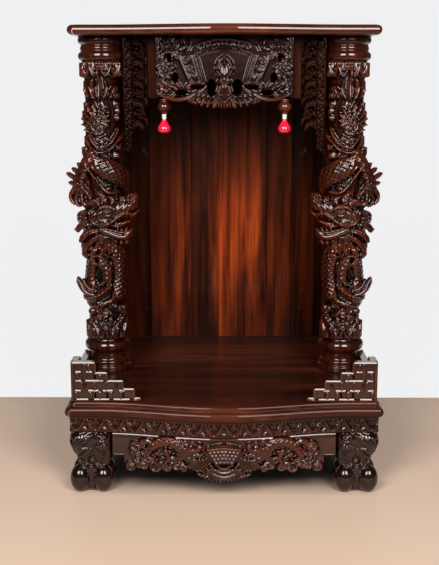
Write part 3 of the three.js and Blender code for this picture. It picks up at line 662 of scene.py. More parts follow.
# %% Petals at the head and the foot
PETALS = 12
for k in range(PETALS):
    u = -ROUND / 2 + ROUND * (k + 0.5) / PETALS
    top, wide = HEAD_BOTTOM + 4, 0.44 * ROUND / PETALS
    dome(log, (u, HEAD_BOTTOM - 8), wide * 0.95, 20.0, 7.0, 1.0)
    cord(log, [(u - wide, top), (u - 0.92 * wide, top - 18), (u, top - 33), (u + 0.92 * wide, top - 18),
               (u + wide, top)], 2.6, 6.5, 6.5, start=1.0, end=1.0)
    cord(log, [(u - 0.45 * wide, top), (u - 0.4 * wide, top - 13), (u, top - 22), (u + 0.4 * wide, top - 13),
               (u + 0.45 * wide, top)], 1.8, 5.0, 7.5, start=1.0, end=1.0)
for k in range(9):
    u = -ROUND / 2 + ROUND * (k + 0.5) / 9
    wide = 0.42 * ROUND / 9
    leaf(log, [(u + ROUND / 18, 66), (u + ROUND / 18, 92), (u + ROUND / 18, 117)], 9.0, 8.0, 0.0, 3, 0.5)
    dome(log, (u, 82), wide, 20.0, 8.0, 1.0)
    cord(log, [(u - 0.8 * wide, 68), (u - wide, 84), (u, 106), (u + wide, 84), (u + 0.8 * wide, 68)], 2.4,
         6.0, 6.0, start=1.0, end=1.0)
    cord(log, [(u - 0.4 * wide, 72), (u - 0.5 * wide, 82), (u, 94), (u + 0.5 * wide, 82),
               (u + 0.4 * wide, 72)], 1.8, 4.0, 8.0, start=1.0, end=1.0)

# %% Flames, spray and rosette of the upper shaft
SPRAY = (-8, 516)
for path, width in (([(-3, 564), (-2, 594), (-5, 626)], 6.5), ([(-10, 566), (-19, 586), (-13, 610)], 5.0),
                    ([(4, 566), (13, 586), (8, 610)], 5.0), ([(18, 568), (23, 580), (28, 592)], 4.0),
                    ([(-24, 570), (-30, 580), (-32, 594)], 4.0)):
    leaf(log, seen(path), width, 10.0, 3.0, 1, 0.3, vein=0.9)
for degrees, length in ((200, 33), (180, 36), (160, 40), (140, 44), (120, 46), (100, 45), (80, 42), (60, 40),
                        (40, 36), (20, 30), (0, 26)):
    angle = math.radians(degrees)
    root = (SPRAY[0] + 18 * math.cos(angle), SPRAY[1] + 18 * math.sin(angle))
    tip = (SPRAY[0] + length * math.cos(angle), SPRAY[1] + length * math.sin(angle))
    leaf(log, seen([root, tip]), 4.8, 9.0, 2.5, 3, 0.5, vein=0.7)
dome(log, (around(SPRAY[0]), SPRAY[1]), 20.0, 20.0, 7.0, 2.0)
dome(log, (around(SPRAY[0]), SPRAY[1]), 4.5, 4.5, 7.0, 9.0)
for radius in (8.5, 13.5, 18.5):
    for third in range(3):
        start = third * 2.1 + radius
        arc = [(around(SPRAY[0]) + radius * math.cos(start + t), SPRAY[1] + radius * math.sin(start + t))
               for t in np.linspace(0, 1.75, 7)]
        cord(log, arc, 2.1, 6.0, 9.5 - 0.25 * radius, start=0.5, end=0.5)
cord(log, seen([(-35, 492), (-25, 473), (-6, 461), (16, 467), (34, 485), (45, 506)]), 2.8, 8.0, 5.0,
     start=0.6, end=0.4)
cord(log, seen([(-29, 497), (-18, 480), (-4, 471), (14, 477), (28, 491), (37, 510)]), 2.4, 7.0, 4.0,
     start=0.6, end=0.4)
for x, v, r in ((0, 485, 6), (-10, 487, 5), (10, 489, 5), (0, 474, 4), (33, 588, 6), (36, 574, 6),
                (35, 557, 6), (39, 543, 6), (37, 529, 5), (39, 489, 6), (40, 472, 7), (34, 455, 6),
                (-38, 522, 6), (-37, 540, 5), (-36, 556, 5), (20, 456, 5)):
    curl(log, (around(x), v), r, 1.2, 1.0 + x, 2.0, 8.0, 1 if x > 0 else -1, 2.0)

# %% Coiled body of the dragon
body_round = [(around(-34), 462), (around(-16), 444), (around(10), 428), (around(38), 412), (84, 392),
              (118, 352), (150, 318), (188, 286), (224, 262), (ROUND - 52, 252)]
scaled_body(log, body_round, 25.0, 16.0, 8.4, 5.5, start=0.55, end=0.6, spine=4.0)
scaled_body(log, [(around(-10), 436), (around(19), 424), (around(42), 408)], 24.0, 17.0, 8.4, 6.0, start=0.8,
            end=0.7)
scaled_body(log, [(around(18), 266), (around(34), 240), (around(36), 204), (around(28), 166)], 23.0, 14.0,
            8.2, 6.0, start=0.7, end=0.7)
scaled_body(log, [(around(-27), 176), (around(-33), 204), (around(-27), 230), (around(-12), 240),
                  (around(4), 226), (around(6), 200)], 15.0, 13.0, 7.4, 5.0, start=0.9, end=0.8, spine=2.0)
for x, v, ru, rv in ((-14, 241, 6, 7), (-13, 201, 7, 9), (12, 186, 6, 5), (-33, 252, 5, 6), (14, 252, 5, 4)):
    pit = ((log.U - around(x)) / ru) ** 2 + ((log.V - v) / rv) ** 2
    log.height = np.where(pit < 1, np.minimum(log.height, 15.0 * np.clip(pit, 0, 1) ** 2), log.height)
cord(log, [(around(-42), 160), (around(-26), 158), (around(-8), 168), (around(8), 184)], 12.5, 16.0, 1.0,
     start=0.8, end=0.6)
for t in np.linspace(0, 1, 8):
    dome(log, (around(-35 + 44 * t), 159 + 4 * t + 20 * t * t), 3.4, 3.8, 9.0, 14.0)
    dome(log, (around(-22 + 30 * t), 184 + 4 * t + 12 * t * t), 2.8, 3.0, 7.0, 8.0)
    dome(log, (around(-30 + 36 * t), 236 + 14 * math.sin(math.pi * t)), 3.0, 3.2, 7.0, 12.0)
scaled_body(log, [(-92, 250), (-82, 214), (-66, 180), (around(-36), 150), (around(-8), 146),
                  (around(14), 154)], 13.0, 12.0, 7.0, 2.4, start=0.8, end=0.5)
cord(log, seen([(-6, 400), (4, 386), (16, 379), (34, 381)]), 4.5, 10.0, 6.0)
dome(log, (around(14), 388), 9.0, 5.0, 9.0, 4.0)

# %% Clouds and flames between
for x, v, r, hand in ((-34, 128, 8, 1), (-14, 134, 8, -1), (2, 124, 7, 1), (20, 144, 9, -1), (33, 134, 7, 1),
                      (-36, 276, 8, 1), (-8, 270, 9, -1), (14, 276, 8, 1), (30, 284, 8, -1), (40, 300, 9, 1)):
    curl(log, (around(x), v), r, 1.3, 2.0 + x * 0.1, 2.6, 9.0, hand, 2.0)
leaf(log, seen([(25, 82), (32, 102), (42, 126)]), 6.0, 10.0, 3.0, 6, 0.6)
leaf(log, seen([(-8, 112), (-18, 118), (-30, 112)]), 5.0, 8.0, 3.0, 5, 0.6)
leaf(log, seen([(-2, 140), (10, 128), (22, 118)]), 5.0, 8.0, 3.0, 5, 0.6)
for k in range(34):
    u = 58 + (ROUND - 116) * ((k * 0.618034) % 1.0)
    v = 126 + 470 * (k + 0.5) / 34
    curl(log, (u, v), 8.5 + 2.5 * math.sin(k * 2.1), 1.4, k * 1.3, 2.8, 7.5, 1 if k % 2 else -1, 1.5)
    leaf(log, [(u + 8, v + 6), (u + 20, v + 14), (u + 26 * math.cos(k), v + 30)], 6.0, 7.0, 1.0, 5, 0.6)
radius = ring_profile(log.V)
shaft_zone = np.clip((log.V - FOOT_TOP + 6) / 8, 0, 1) * np.clip((HEAD_BOTTOM + 8 - log.V) / 10, 0, 1)
carved_radius = SHAFT + soften(log.height, wrap=True)
log_radius = np.where(shaft_zone > 0, np.maximum(radius, carved_radius * shaft_zone), radius)


def log_arrays():
    """The closed skin of the log: rows of rings, with a fan at each end."""
    angle = log.U / UNROLL
    points = np.stack([log_radius * np.sin(angle), -log_radius * np.cos(angle), log.V], axis=-1).reshape(-1,
                                                                                                         3)
    rows, columns = log.U.shape
    quads = grid_quads(rows, columns, wrap=True)
    ends = np.array([[0, 0, log.vs[0]], [0, 0, log.vs[-1]]])
    fans = end_fans(columns, rows, len(points))
    # Painted shade in the cuts of the carved shaft and painted highlights on its crests; the turned rings and the
    # ends get an even share
    painted_shading = np.where(shaft_zone > 0, hollows(log_radius, 4, wrap=True), 0.55).ravel()
    return np.vstack([points, ends]), quads, fans, np.concatenate([painted_shading, [0.5, 0.5]])


# %% [markdown]
# The head, the mane and the claw stand clear of the shaft. They are drawn on a second sheet, seen from the
# front, and cut out with a rounded back. On a real column they are undercut from the same log, so the two meshes
# run into each other and make one piece.

# %% Head, mane and claw
FIGURE_PITCH = 1.36
figure = Carving(-90, 82, 150, 470, FIGURE_PITCH)

# Claw leg with its spurs
for path, width in (([(-32, 420), (-42, 430), (-53, 440)], 5.0), ([(-38, 410), (-50, 419), (-65, 430)], 5.2),
                    ([(-44, 400), (-60, 409), (-77.5, 419)], 5.5),
                    ([(-50, 390), (-60, 396), (-73, 399)], 4.8)):
    cord(figure, path, width, 11.0, 1.0, start=1.0, end=0.04)
cord(figure, [(-20, 460), (-30, 444), (-40, 424), (-50, 402), (-53, 386)], 12.0, 15.0, 2.0, start=0.8,
     end=1.0)
for x, v, turn in ((-24, 446, 2.2), (-33, 428, 2.0), (-40, 412, 1.8), (-46, 398, 1.8)):
    leaf(figure, [(x + 9, v + 4), (x, v - 2), (x - 13, v - 2)], 4.4, 6.0, 13.0, 2, 0.3)
for k in range(4):
    cord(figure, [(-36 + 4.5 * k, 440 - 6 * k), (-30 + 4.5 * k, 430 - 6 * k), (-22 + 4.0 * k, 421 - 5 * k)],
         1.8, 4.5, 16.0)
dome(figure, (-37, 396), 11, 40, 5.0, 0.5)
dome(figure, (-50, 381), 16, 14, 13.0, 3.0)
rosette(figure, (-44, 389), 9.0, 7, 6.0, 12.0, 0.4, rings=2)
for path in ([(-62, 384), (-68, 368), (-60, 354)], [(-54, 378), (-56, 360), (-47, 350)],
             [(-44, 376), (-42, 360), (-34, 352)], [(-36, 384), (-28, 374), (-24, 364)]):
    cord(figure, path, 5.6, 13.0, 3.0, start=0.9, end=0.15)
    dome(figure, path[1], 4.5, 4.5, 15.0, 3.0)

# Mane blades, ear curl and whisker
for path, width in (([(-14, 316), (-38, 314), (-60, 302)], 7.5), ([(-12, 302), (-32, 296), (-52, 276)], 8.5),
                    ([(-8, 290), (-26, 278), (-46, 255)], 8.5), ([(-2, 286), (-14, 268), (-28, 246)], 8.0),
                    ([(6, 286), (2, 266), (-8, 246)], 7.5), ([(16, 288), (16, 270), (10, 250)], 7.0),
                    ([(-16, 336), (-38, 338), (-56, 330)], 7.0)):
    cord(figure, path, 0.85 * width, 13.0, 3.0, start=1.0, end=0.04, groove=3.0)
    cord(figure, [(a + 5, b + 4) for a, b in path], 0.3 * width, 7.0, 8.0, start=1.0, end=0.1)
curl(figure, (-45, 324), 9.5, 1.3, 0.4, 3.4, 14.0, -1, 3.0)
cord(figure, [(-30, 300), (-44, 306), (-54, 298), (-61, 304)], 2.4, 8.0, 5.0)

# Skull, snout and jaws
dome(figure, (-8, 332), 34, 27, 17.0, 3.0)
cord(figure, [(-16, 330), (10, 338), (34, 346), (54, 352)], 20.0, 22.0, 3.0, start=0.9, end=0.8)
dome(figure, (2, 320), 22, 17, 23.0, 3.0)
curl(figure, (58, 368), 10.5, 1.4, -1.4, 3.6, 20.0, 1, 6.0)
curl(figure, (40, 366), 6.5, 1.2, -1.0, 2.6, 20.0, 1, 6.0)
cord(figure, [(8, 314), (20, 321), (34, 332), (50, 338), (62, 334), (72, 342)], 3.8, 9.0, 17.0, start=0.8,
     end=0.3)
cord(figure, [(-4, 304), (14, 296), (34, 289), (47, 290), (56, 301)], 9.0, 17.0, 3.0, start=0.8, end=0.4)
cord(figure, [(4, 306), (20, 303), (36, 298), (50, 300)], 2.6, 6.0, 15.0)
leaf(figure, [(12, 312), (34, 314), (58, 322)], 5.0, 9.0, 8.0, 1, 0.3)
for x, v, w in ((26, 326, 2.2), (33, 330, 2.2), (40, 334, 2.2), (48, 336, 2.4), (58, 334, 3.0)):
    cord(figure, [(x, v), (x + 1.0, v - 8.5)], w, 7.0, 13.0, start=1.0, end=0.2)
for x, v, w in ((30, 301, 2.0), (38, 299, 2.2), (47, 300, 2.8)):
    cord(figure, [(x, v), (x + 0.5, v + 8.0)], w, 6.0, 12.0, start=1.0, end=0.2)
for path in ([(34, 286), (38, 278), (33, 270)], [(42, 288), (48, 280), (45, 271)],
             [(24, 290), (26, 280), (20, 271)]):
    leaf(figure, path, 4.5, 10.0, 3.0, 2, 0.5)

# Eye, brow, cheek and crest
cord(figure, [(-10, 344), (2, 352), (16, 352), (28, 346)], 4.6, 8.0, 21.0, start=0.5)
dome(figure, (11, 341), 7.0, 5.6, 9.0, 20.0)
cord(figure, curl_path((11, 341), 7.8, 1.0, 0.0, 1, 1.0), 1.6, 4.5, 23.0, start=1, end=1)
for k in range(5):
    leaf(figure, [(-6 - 6 * k, 352 - 1.5 * k), (-12 - 7 * k, 362 - 2 * k), (-22 - 7 * k, 366 - 4 * k)], 4.6,
         9.0, 13.0 - 2 * k, 2, 0.5)
leaf(figure, [(6, 356), (2, 370), (-12, 382)], 6.5, 13.0, 6.0, 5, 0.5)
leaf(figure, [(22, 354), (20, 366), (10, 374)], 5.5, 12.0, 8.0, 5, 0.5)
curl(figure, (-12, 322), 9.0, 1.4, 2.4, 2.8, 7.0, 1, 18.0, fill=False)
curl(figure, (-24, 340), 7.5, 1.3, 0.4, 2.6, 7.0, -1, 14.0, fill=False)
for k in range(6):
    cord(figure, [(30 + 5 * k, 352 + 0.8 * k), (31 + 5 * k, 346 + 0.6 * k)], 2.0, 3.5, 20.0)

# Wrinkles and frills over the smooth wood of the head and the claw
worked = (figure.V > 262) & (figure.V < 400) & (figure.height > 4)
calm = np.exp(-(((figure.U - 11) / 9) ** 2 + ((figure.V - 341)
                                              / 7) ** 2)) + (figure.V < 312) * (figure.U > 0) * 0.7
figure.height = figure.height - worked * np.clip(1 - calm, 0,
                                                 1) * 2.6 * (1 - gouges(figure.U, figure.V, 8.0, 2.1, -0.55))

# Fin on the lower coil
cord(figure, [(-24, 166), (-38, 170), (-50, 182), (-58, 203)], 7.0, 12.0, 1.0, start=1.0, end=0.03)
cord(figure, [(-22, 176), (-33, 179), (-42, 188), (-46, 200)], 4.5, 9.0, 1.0, start=1.0, end=0.03)


def figure_ground(u):
    """Distance in front of the axis of the ground that the figures stand on: it bends back at its sides."""
    return 33.0 - 17.0 * np.clip(np.abs(u) / 66.0, 0, 1.3) ** 2


def slab_arrays(sheet, front, back):
    """Points and quads of a cut-out: front and back are arrays of points, both cut along cover = 0."""
    cover = sheet.cover
    keep = (cover[:-1, :-1] + cover[1:, :-1] + cover[:-1, 1:] + cover[1:, 1:]) / 4 > 0
    number = np.arange(cover.size).reshape(cover.shape)
    face = np.stack([number[:-1, :-1][keep], number[:-1, 1:][keep], number[1:, 1:][keep],
                     number[1:, :-1][keep]], 1)
    framed = np.pad(keep, 1)
    rows, columns = keep.shape
    walls = []
    for dj, di, first, second in ((-1, 0, 0, 1), (1, 0, 2, 3), (0, -1, 3, 0), (0, 1, 1, 2)):
        bare = ~framed[1 + dj:1 + dj + rows, 1 + di:1 + di + columns][keep]
        p, q = face[bare][:, first], face[bare][:, second]
        walls.append(np.stack([q, p, p + cover.size, q + cover.size], axis=1))
    quads = np.vstack([face, face[:, ::-1] + cover.size, *walls])
    used, packed = np.unique(quads, return_inverse=True)
    points = np.concatenate([front.reshape(-1, 3), back.reshape(-1, 3)])
    return points[used], packed.reshape(quads.shape), used


def snapped(sheet):
    """Grid places with those near the contour moved onto it along the slope of cover."""
    gv, gu = np.gradient(sheet.cover, sheet.vs, sheet.us)
    steep = np.maximum(gu * gu + gv * gv, 0.25)
    near = np.abs(sheet.cover) < 0.9 * sheet.step
    return np.where(near, sheet.U - sheet.cover * gu / steep, sheet.U), np.where(near,
                                                                                 sheet.V - sheet.cover * gv
                                                                                 / steep, sheet.V)


def figure_arrays():
    """The figures of the second sheet in front of the shaft, with a back as round as a quarter circle at the rim."""
    height = soften(figure.height)
    U, V = snapped(figure)
    rim = 1 - np.clip(figure.cover / 9.0, 0, 1)
    thick = 13.0 * np.sqrt(np.clip(1 - rim * rim, 0, 1))
    ground = figure_ground(U)
    front = np.stack([U, -(ground + height), V], axis=-1)
    back = np.stack([U, -(ground - thick), V], axis=-1)
    points, quads, used = slab_arrays(figure, front, back)
    # Painted shade in the cuts and painted highlights on the crests of the figures; their backs get a dark share,
    # painted shade
    painted_shading = np.concatenate([hollows(height, 5).ravel(), np.full(height.size, 0.2)])[used]
    return points, quads, painted_shading


# %% The two columns
log_points, log_quads, log_fans, log_shading = log_arrays()
figure_points, figure_quads, figure_shading = figure_arrays()
column_points = np.vstack([log_points, figure_points])
column_quads = np.vstack([log_quads, figure_quads + len(log_points)])
column_shading = np.concatenate([log_shading, figure_shading])
for side, name in ((-1, "left"), (1, "right")):
    world = column_points * np.array([-side, 1, 1]) + np.array([side * COLUMN_X, COLUMN_Y, FLOOR_TOP])
    quads = column_quads if side < 0 else column_quads[:, ::-1]
    fans = log_fans if side < 0 else log_fans[:, ::-1]
    column = add_mesh(f"column_{name}", world, quads, column_shading, triangles=fans)
    stand_for(column, [f"dragon_column_{name}"], carved_upright)
print("columns:", triangle_count["column_left"], "triangles each")


# %% [markdown]
# ## Front apron and carved band
# The apron is a bowed board between the front legs. Its face carries two facing dragons round a scaled mask, and
# its lower edge is the edge of the carving. A bright bead runs along its top. A carver works it flat on the bench
# from one thick plank and saws the bow afterwards, so here too it is drawn flat and then set on the curve.

# %% Boards from a sheet
def slab(name, sheet, face, thick, relief_top, lift=0.0, bowed=False):
    """A cut-out board raised by lift. Its front is y = face - swell(x) - height if bowed, or y = face - height."""
    height = soften(sheet.height)
    U, V = snapped(sheet)
    plane = face - swell(U) if bowed else np.full_like(U, face)
    front = np.stack([U, plane - height, V + lift], axis=-1)
    back = np.stack([U, plane + thick, V + lift], axis=-1)
    points, quads, used = slab_arrays(sheet, front, back)
    # Painted shade in the cuts and painted highlights on the crests; the back gets an even dark share
    painted_shading = hollows(height, 4, depth=0.25 * relief_top).ravel()
    return add_mesh(name, points, quads, np.concatenate([painted_shading, np.full(height.size, 0.3)])[used])


def flat_cover(sheet, bottom, top, left, right):
    """Cover of a plain board: distance inside its edges. bottom may vary along u."""
    edges = np.minimum(np.minimum(sheet.U - left, right - sheet.U),
                       np.minimum(top - sheet.V, sheet.V - bottom))
    sheet.cover = np.maximum(sheet.cover, edges)


# %% Apron carving
apron_high = node_box("apron_front")[1]
APRON_HALF, APRON_TOP = apron_high[0], apron_high[2]
APRON_FACE = -252.0
apron = Carving(-APRON_HALF, APRON_HALF, 33.0, APRON_TOP, 1.3)
ground_edge = np.interp(np.abs(apron.U), [0, 40, 60, 100, 150, 172, 180, 186, APRON_HALF],
                        [58, 60, 66, 72, 68, 66, 70, 78, 78])
flat_cover(apron, ground_edge, APRON_TOP + 0.65, -APRON_HALF - 0.65, APRON_HALF + 0.65)
below_top = APRON_TOP - apron.V
strip = (below_top < 8.5) & (below_top > -1)
apron.height = np.where(strip, np.maximum(1.6 + 0.53 * below_top * (below_top < 7.2), apron.height),
                        apron.height)
frame_line = (apron.V > APRON_TOP - 13) & (apron.V < APRON_TOP - 10)
apron.height = np.where(frame_line, np.maximum(apron.height, 1.0), apron.height)

both_sides(scaled_body, apron, [(150, 78), (142, 96), (122, 110), (100, 112), (84, 100), (70, 84), (56, 76)],
           11.0, 9.0, 6.0, 3.6, start=0.6, end=0.7, spine=2.6)
both_sides(scaled_body, apron, [(164, 92), (158, 106), (146, 110), (136, 102)], 7.0, 7.0, 5.0, 2.6, start=0.7,
           end=0.6)
both_sides(scaled_body, apron, [(126, 60), (118, 72), (104, 80), (88, 78), (76, 68)], 7.0, 7.0, 5.0, 2.6,
           start=0.6, end=0.6)
dome(apron, (0, 92), 38, 21, 9.0, 2.0)
for row in range(5):
    for k in range(9 - row):
        x = (k - (8 - row) / 2) * 7.6
        dome(apron, (x, 105 - row * 6.6 - abs(x) * 0.10), 4.4, 3.9, 5.6, 6.0 + 1.0 * row * (1 - abs(x) / 40))
for k in range(-7, 8):
    leaf(apron, [(k * 3.6, 66), (k * 5.6, 52), (k * 7.4, 37.0 + 0.34 * k * k)], 5.2, 8.0, 2.0, 1, 0.45,
         point=0.95, vein=0.7)
for span, sag, lift, w in ((34, 50, 9.5, 3.4), (28, 59, 11.0, 3.2), (20, 68, 12.0, 2.8)):
    cord(apron, [(-span, sag + 16), (-span * 0.6, sag + 3), (0, sag - 3), (span * 0.6, sag + 3),
                 (span, sag + 16)], w, 5.0, lift - 3.5, start=0.4, end=0.4)
for mirror in (1, -1):
    def at(points):
        return [(mirror * x, z) for x, z in points]
    # Striped wings beside the mask
    dome(apron, (mirror * 44, 74), 26, 15, 4.0, 1.0)
    for k in range(6):
        cord(apron, at([(20 + 7.0 * k, 87 - 1.0 * k), (29 + 7.2 * k, 75 - 1.0 * k),
                        (42 + 6.0 * k, 58 - 0.6 * k + 0.4 * k * k)]), 2.7, 8.5, 2.0, start=0.6, end=0.3)
    for k in range(4):
        cord(apron, at([(38 + 6 * k, 96 - 2.5 * k), (50 + 6 * k, 88 - 2.5 * k)]), 2.3, 5.0, 5.5)
    # Dragon head that faces the middle, with its mane
    dome(apron, (mirror * 66, 98), 15, 11, 9.0, 3.0)
    cord(apron, at([(66, 96), (54, 100), (46, 106)]), 7.0, 9.0, 3.0, end=0.6)
    cord(apron, at([(68, 90), (56, 90), (48, 94)]), 3.6, 8.0, 3.0)
    dome(apron, (mirror * 64, 101), 3.4, 3.0, 5.0, 10.0)
    curl(apron, (mirror * 47, 108), 4.2, 1.1, 0.0, 1.9, 9.0, mirror, 3.0)
    for k in range(5):
        leaf(apron, at([(72, 100 - 3 * k), (84 + 2 * k, 104 - 7 * k), (94, 108 - 9 * k)]), 4.4, 8.0, 3.0, 1,
             0.4)
    # Claw with three toes
    cord(apron, at([(112, 96), (106, 82), (112, 72)]), 6.0, 9.0, 3.0, start=0.8)
    for dx, dz in ((-8, -10), (0, -13), (8, -9)):
        cord(apron, at([(112, 74), (112 + dx * 0.6, 68 + dz * 0.5), (112 + dx, 70 + dz)]), 3.2, 7.5, 2.5,
             end=0.2)
    # Clouds along the lower edge
    for x, z, r, hand in ((154, 66, 10, 1), (132, 60, 10, -1), (111, 63, 9, 1), (90, 68, 9, -1),
                          (166, 78, 10, 1), (170, 98, 9, -1), (164, 62, 7, 1), (122, 66, 7, 1),
                          (142, 72, 8, -1), (99, 76, 7, 1), (78, 64, 7, -1), (176, 88, 7, 1)):
        curl(apron, (mirror * x, z), r, 1.3, 2.0 + x, 2.6, 8.0, hand * mirror, 2.0)
    for x, z in ((60, 112), (74, 113), (88, 112), (152, 92), (128, 86), (120, 78), (104, 92)):
        curl(apron, (mirror * x, z), 5.0, 1.1, 1.0 + x, 1.9, 6.5, mirror, 1.5)
    # Scroll at the plain end
    curl(apron, (mirror * 181, 56), 8.0, 1.3, 1.2 if mirror > 0 else 1.9, 3.0, 5.0, -mirror, 0.5)
    dome(apron, (mirror * 186, 70), 8, 13, 0.6, 0.0)
apron_piece = slab("apron_carved", apron, APRON_FACE, 16.0, 13.0, bowed=True)
stand_for(apron_piece, ["apron_front"], carved_across)
print("apron:", triangle_count["apron_carved"])

# %% Leaf band
band_low, band_high = node_box("carved_band_front")
BAND_HALF, BAND_LOW, BAND_TOP = band_high[0], band_low[2], band_high[2]
band = Carving(-BAND_HALF, BAND_HALF, BAND_LOW, BAND_TOP, 1.4)
flat_cover(band, BAND_LOW - 0.7, BAND_TOP + 0.7, -BAND_HALF - 0.7, BAND_HALF + 0.7)
band.height = np.where((band.V > BAND_TOP - 3) | (band.V < BAND_LOW + 3), 3.0, 0.0)
BAND_FACE, PERIOD = -257.0, 38.0
for k in range(-8, 9):
    x = k * PERIOD
    for hand in (-1, 1):
        leaf(band, [(x + hand * 17, BAND_LOW + 3), (x + hand * 10, BAND_LOW + 10),
                    (x + hand * 1.5, BAND_TOP - 3)], 4.4, 4.4, 0.0, 5, 0.5, vein=0.7)
        cord(band, [(x + hand * 18.5, BAND_LOW + 5), (x + hand * 12, BAND_TOP - 8),
                    (x + hand * 7, BAND_TOP - 3)], 1.3, 3.0, 0.0)
        leaf(band, [(x + hand * 1, BAND_LOW + 3), (x + hand * 5, BAND_LOW + 6), (x + hand * 8, BAND_LOW + 4)],
             3.0, 3.2, 0.0, 2, 0.4)
    leaf(band, [(x + PERIOD / 2, BAND_TOP - 2), (x + PERIOD / 2, BAND_TOP - 8),
                (x + PERIOD / 2, BAND_TOP - 15)], 4.2, 3.6, 0.0, 2, 0.4)
band.height = np.minimum(band.height, 4.6)
band_piece = slab("band_carved", band, BAND_FACE, 18.0, 5.0, bowed=True)
stand_for(band_piece, ["carved_band_front"], carved_frieze)
print("band:", triangle_count["band_carved"])

# %% [markdown]
# ## Frieze
# The frieze is a thin pierced board: a scroll banner and a smooth plaque between two open books, with roses,
# ribbons and a fan of leaves below. The holes are drilled and sawn first, and the rest is cut round them; here a hole
# is a place where the cover is cut back below 0. Heights are measured down from the top, so `v` is negative.

# %% Frieze carving
frieze_high = node_box("frieze")[1]
FRIEZE_TOP = frieze_high[2]
FRIEZE_HALF, FRIEZE_FACE = 136.0, -63.0
frieze = Carving(-FRIEZE_HALF, FRIEZE_HALF, -142.0, 0.0, 1.15)
edge = np.interp(np.abs(frieze.U), [0, 30, 50, 70, 90, 110, FRIEZE_HALF],
                 [-128, -126, -122, -118, -116, -116, -118])
flat_cover(frieze, edge, 0.6, -FRIEZE_HALF - 0.6, FRIEZE_HALF + 0.6)


def arch(x, crown, half, drop):
    """Height of an arch above its ends: a circle bow of given drop over half its width."""
    return crown - drop * (x / half) ** 2


def raise_between(sheet, low, high, left, right, rise, edge=1.6):
    """A flat raised field between two curves of v and two of u, with softened edges."""
    inside = np.minimum(np.minimum(sheet.V - low, high - sheet.V),
                        np.minimum(sheet.U - left, right - sheet.U))
    field = rise * np.clip(inside / edge, 0, 1) ** 0.5
    sheet.height = np.where(inside > 0, np.maximum(sheet.height, field), sheet.height)


slant = 17.0 * (frieze.V + 38) / 53.0
raise_between(frieze, -91, arch(frieze.U, -27, 55, 11), -55 - slant, 55 + slant, 3.0)
banner_top, banner_low = arch(frieze.U, -3.6, 66, 15), arch(frieze.U, -26, 55, 13)
raise_between(frieze, banner_low, banner_top, -66 + 0.5 * (frieze.V + 20), 66 - 0.5 * (frieze.V + 20), 4.2)
for sign in (1, -1):
    lip = [(x, arch(x, -4.5 if sign > 0 else -25.0, 60, 13)) for x in np.linspace(-58, 58, 13)]
    cord(frieze, lip, 1.7, 3.0, 4.0, covers=False)
for x in (-46, -34, -24, -12, 0, 12, 24, 34, 46):
    v = arch(x, -14.5, 60, 13.5)
    if x % 24 == 0:
        rosette(frieze, (x, v), 6.2, 6, 4.0, 3.6)
    else:
        curl(frieze, (x, v), 4.6, 1.1, x * 0.3, 1.6, 3.6, 1 if x > 0 else -1, 3.8)
for x in (-18, 18):
    cord(frieze, [(x, arch(x, -6, 60, 13)), (x * 1.04, arch(x, -24, 60, 13))], 1.2, 2.4, 4.2, covers=False)
print("frieze ground ready")

# %% Frieze ornaments
# The bud, its petals and the fluted skirt in the middle
leaf(frieze, [(0, -80), (0, -62), (0, -36)], 17.0, 9.0, 4.0, 1, 0.3, point=1.35)
leaf(frieze, [(0, -78), (0, -66), (0, -48)], 9.0, 7.0, 8.0, 1, 0.2)
for hand in (-1, 1):
    cord(frieze, [(0, -38), (hand * 10, -52), (hand * 16, -64), (hand * 8, -76)], 2.0, 4.0, 9.0)
    leaf(frieze, [(hand * 2, -80), (hand * 10, -74), (hand * 15, -80)], 5.0, 9.0, 4.0, 2, 0.5)
    leaf(frieze, [(hand * 2, -92), (hand * 8, -86), (hand * 13, -92)], 5.0, 9.0, 4.0, 2, 0.5)
    curl(frieze, (hand * 6, -84), 4.0, 1.1, 1.0, 1.8, 9.0, hand, 4.0)
dome(frieze, (0, -84), 6, 8, 10.0, 4.0)
dome(frieze, (0, -100), 12, 14, 8.0, 2.0)
for k in range(-4, 5):
    cord(frieze, [(k * 2.2, -96), (k * 3.8, -116), (k * 5.8, -139 + 0.6 * abs(k))], 2.4, 8.5, 1.5, start=0.7,
         end=0.9)

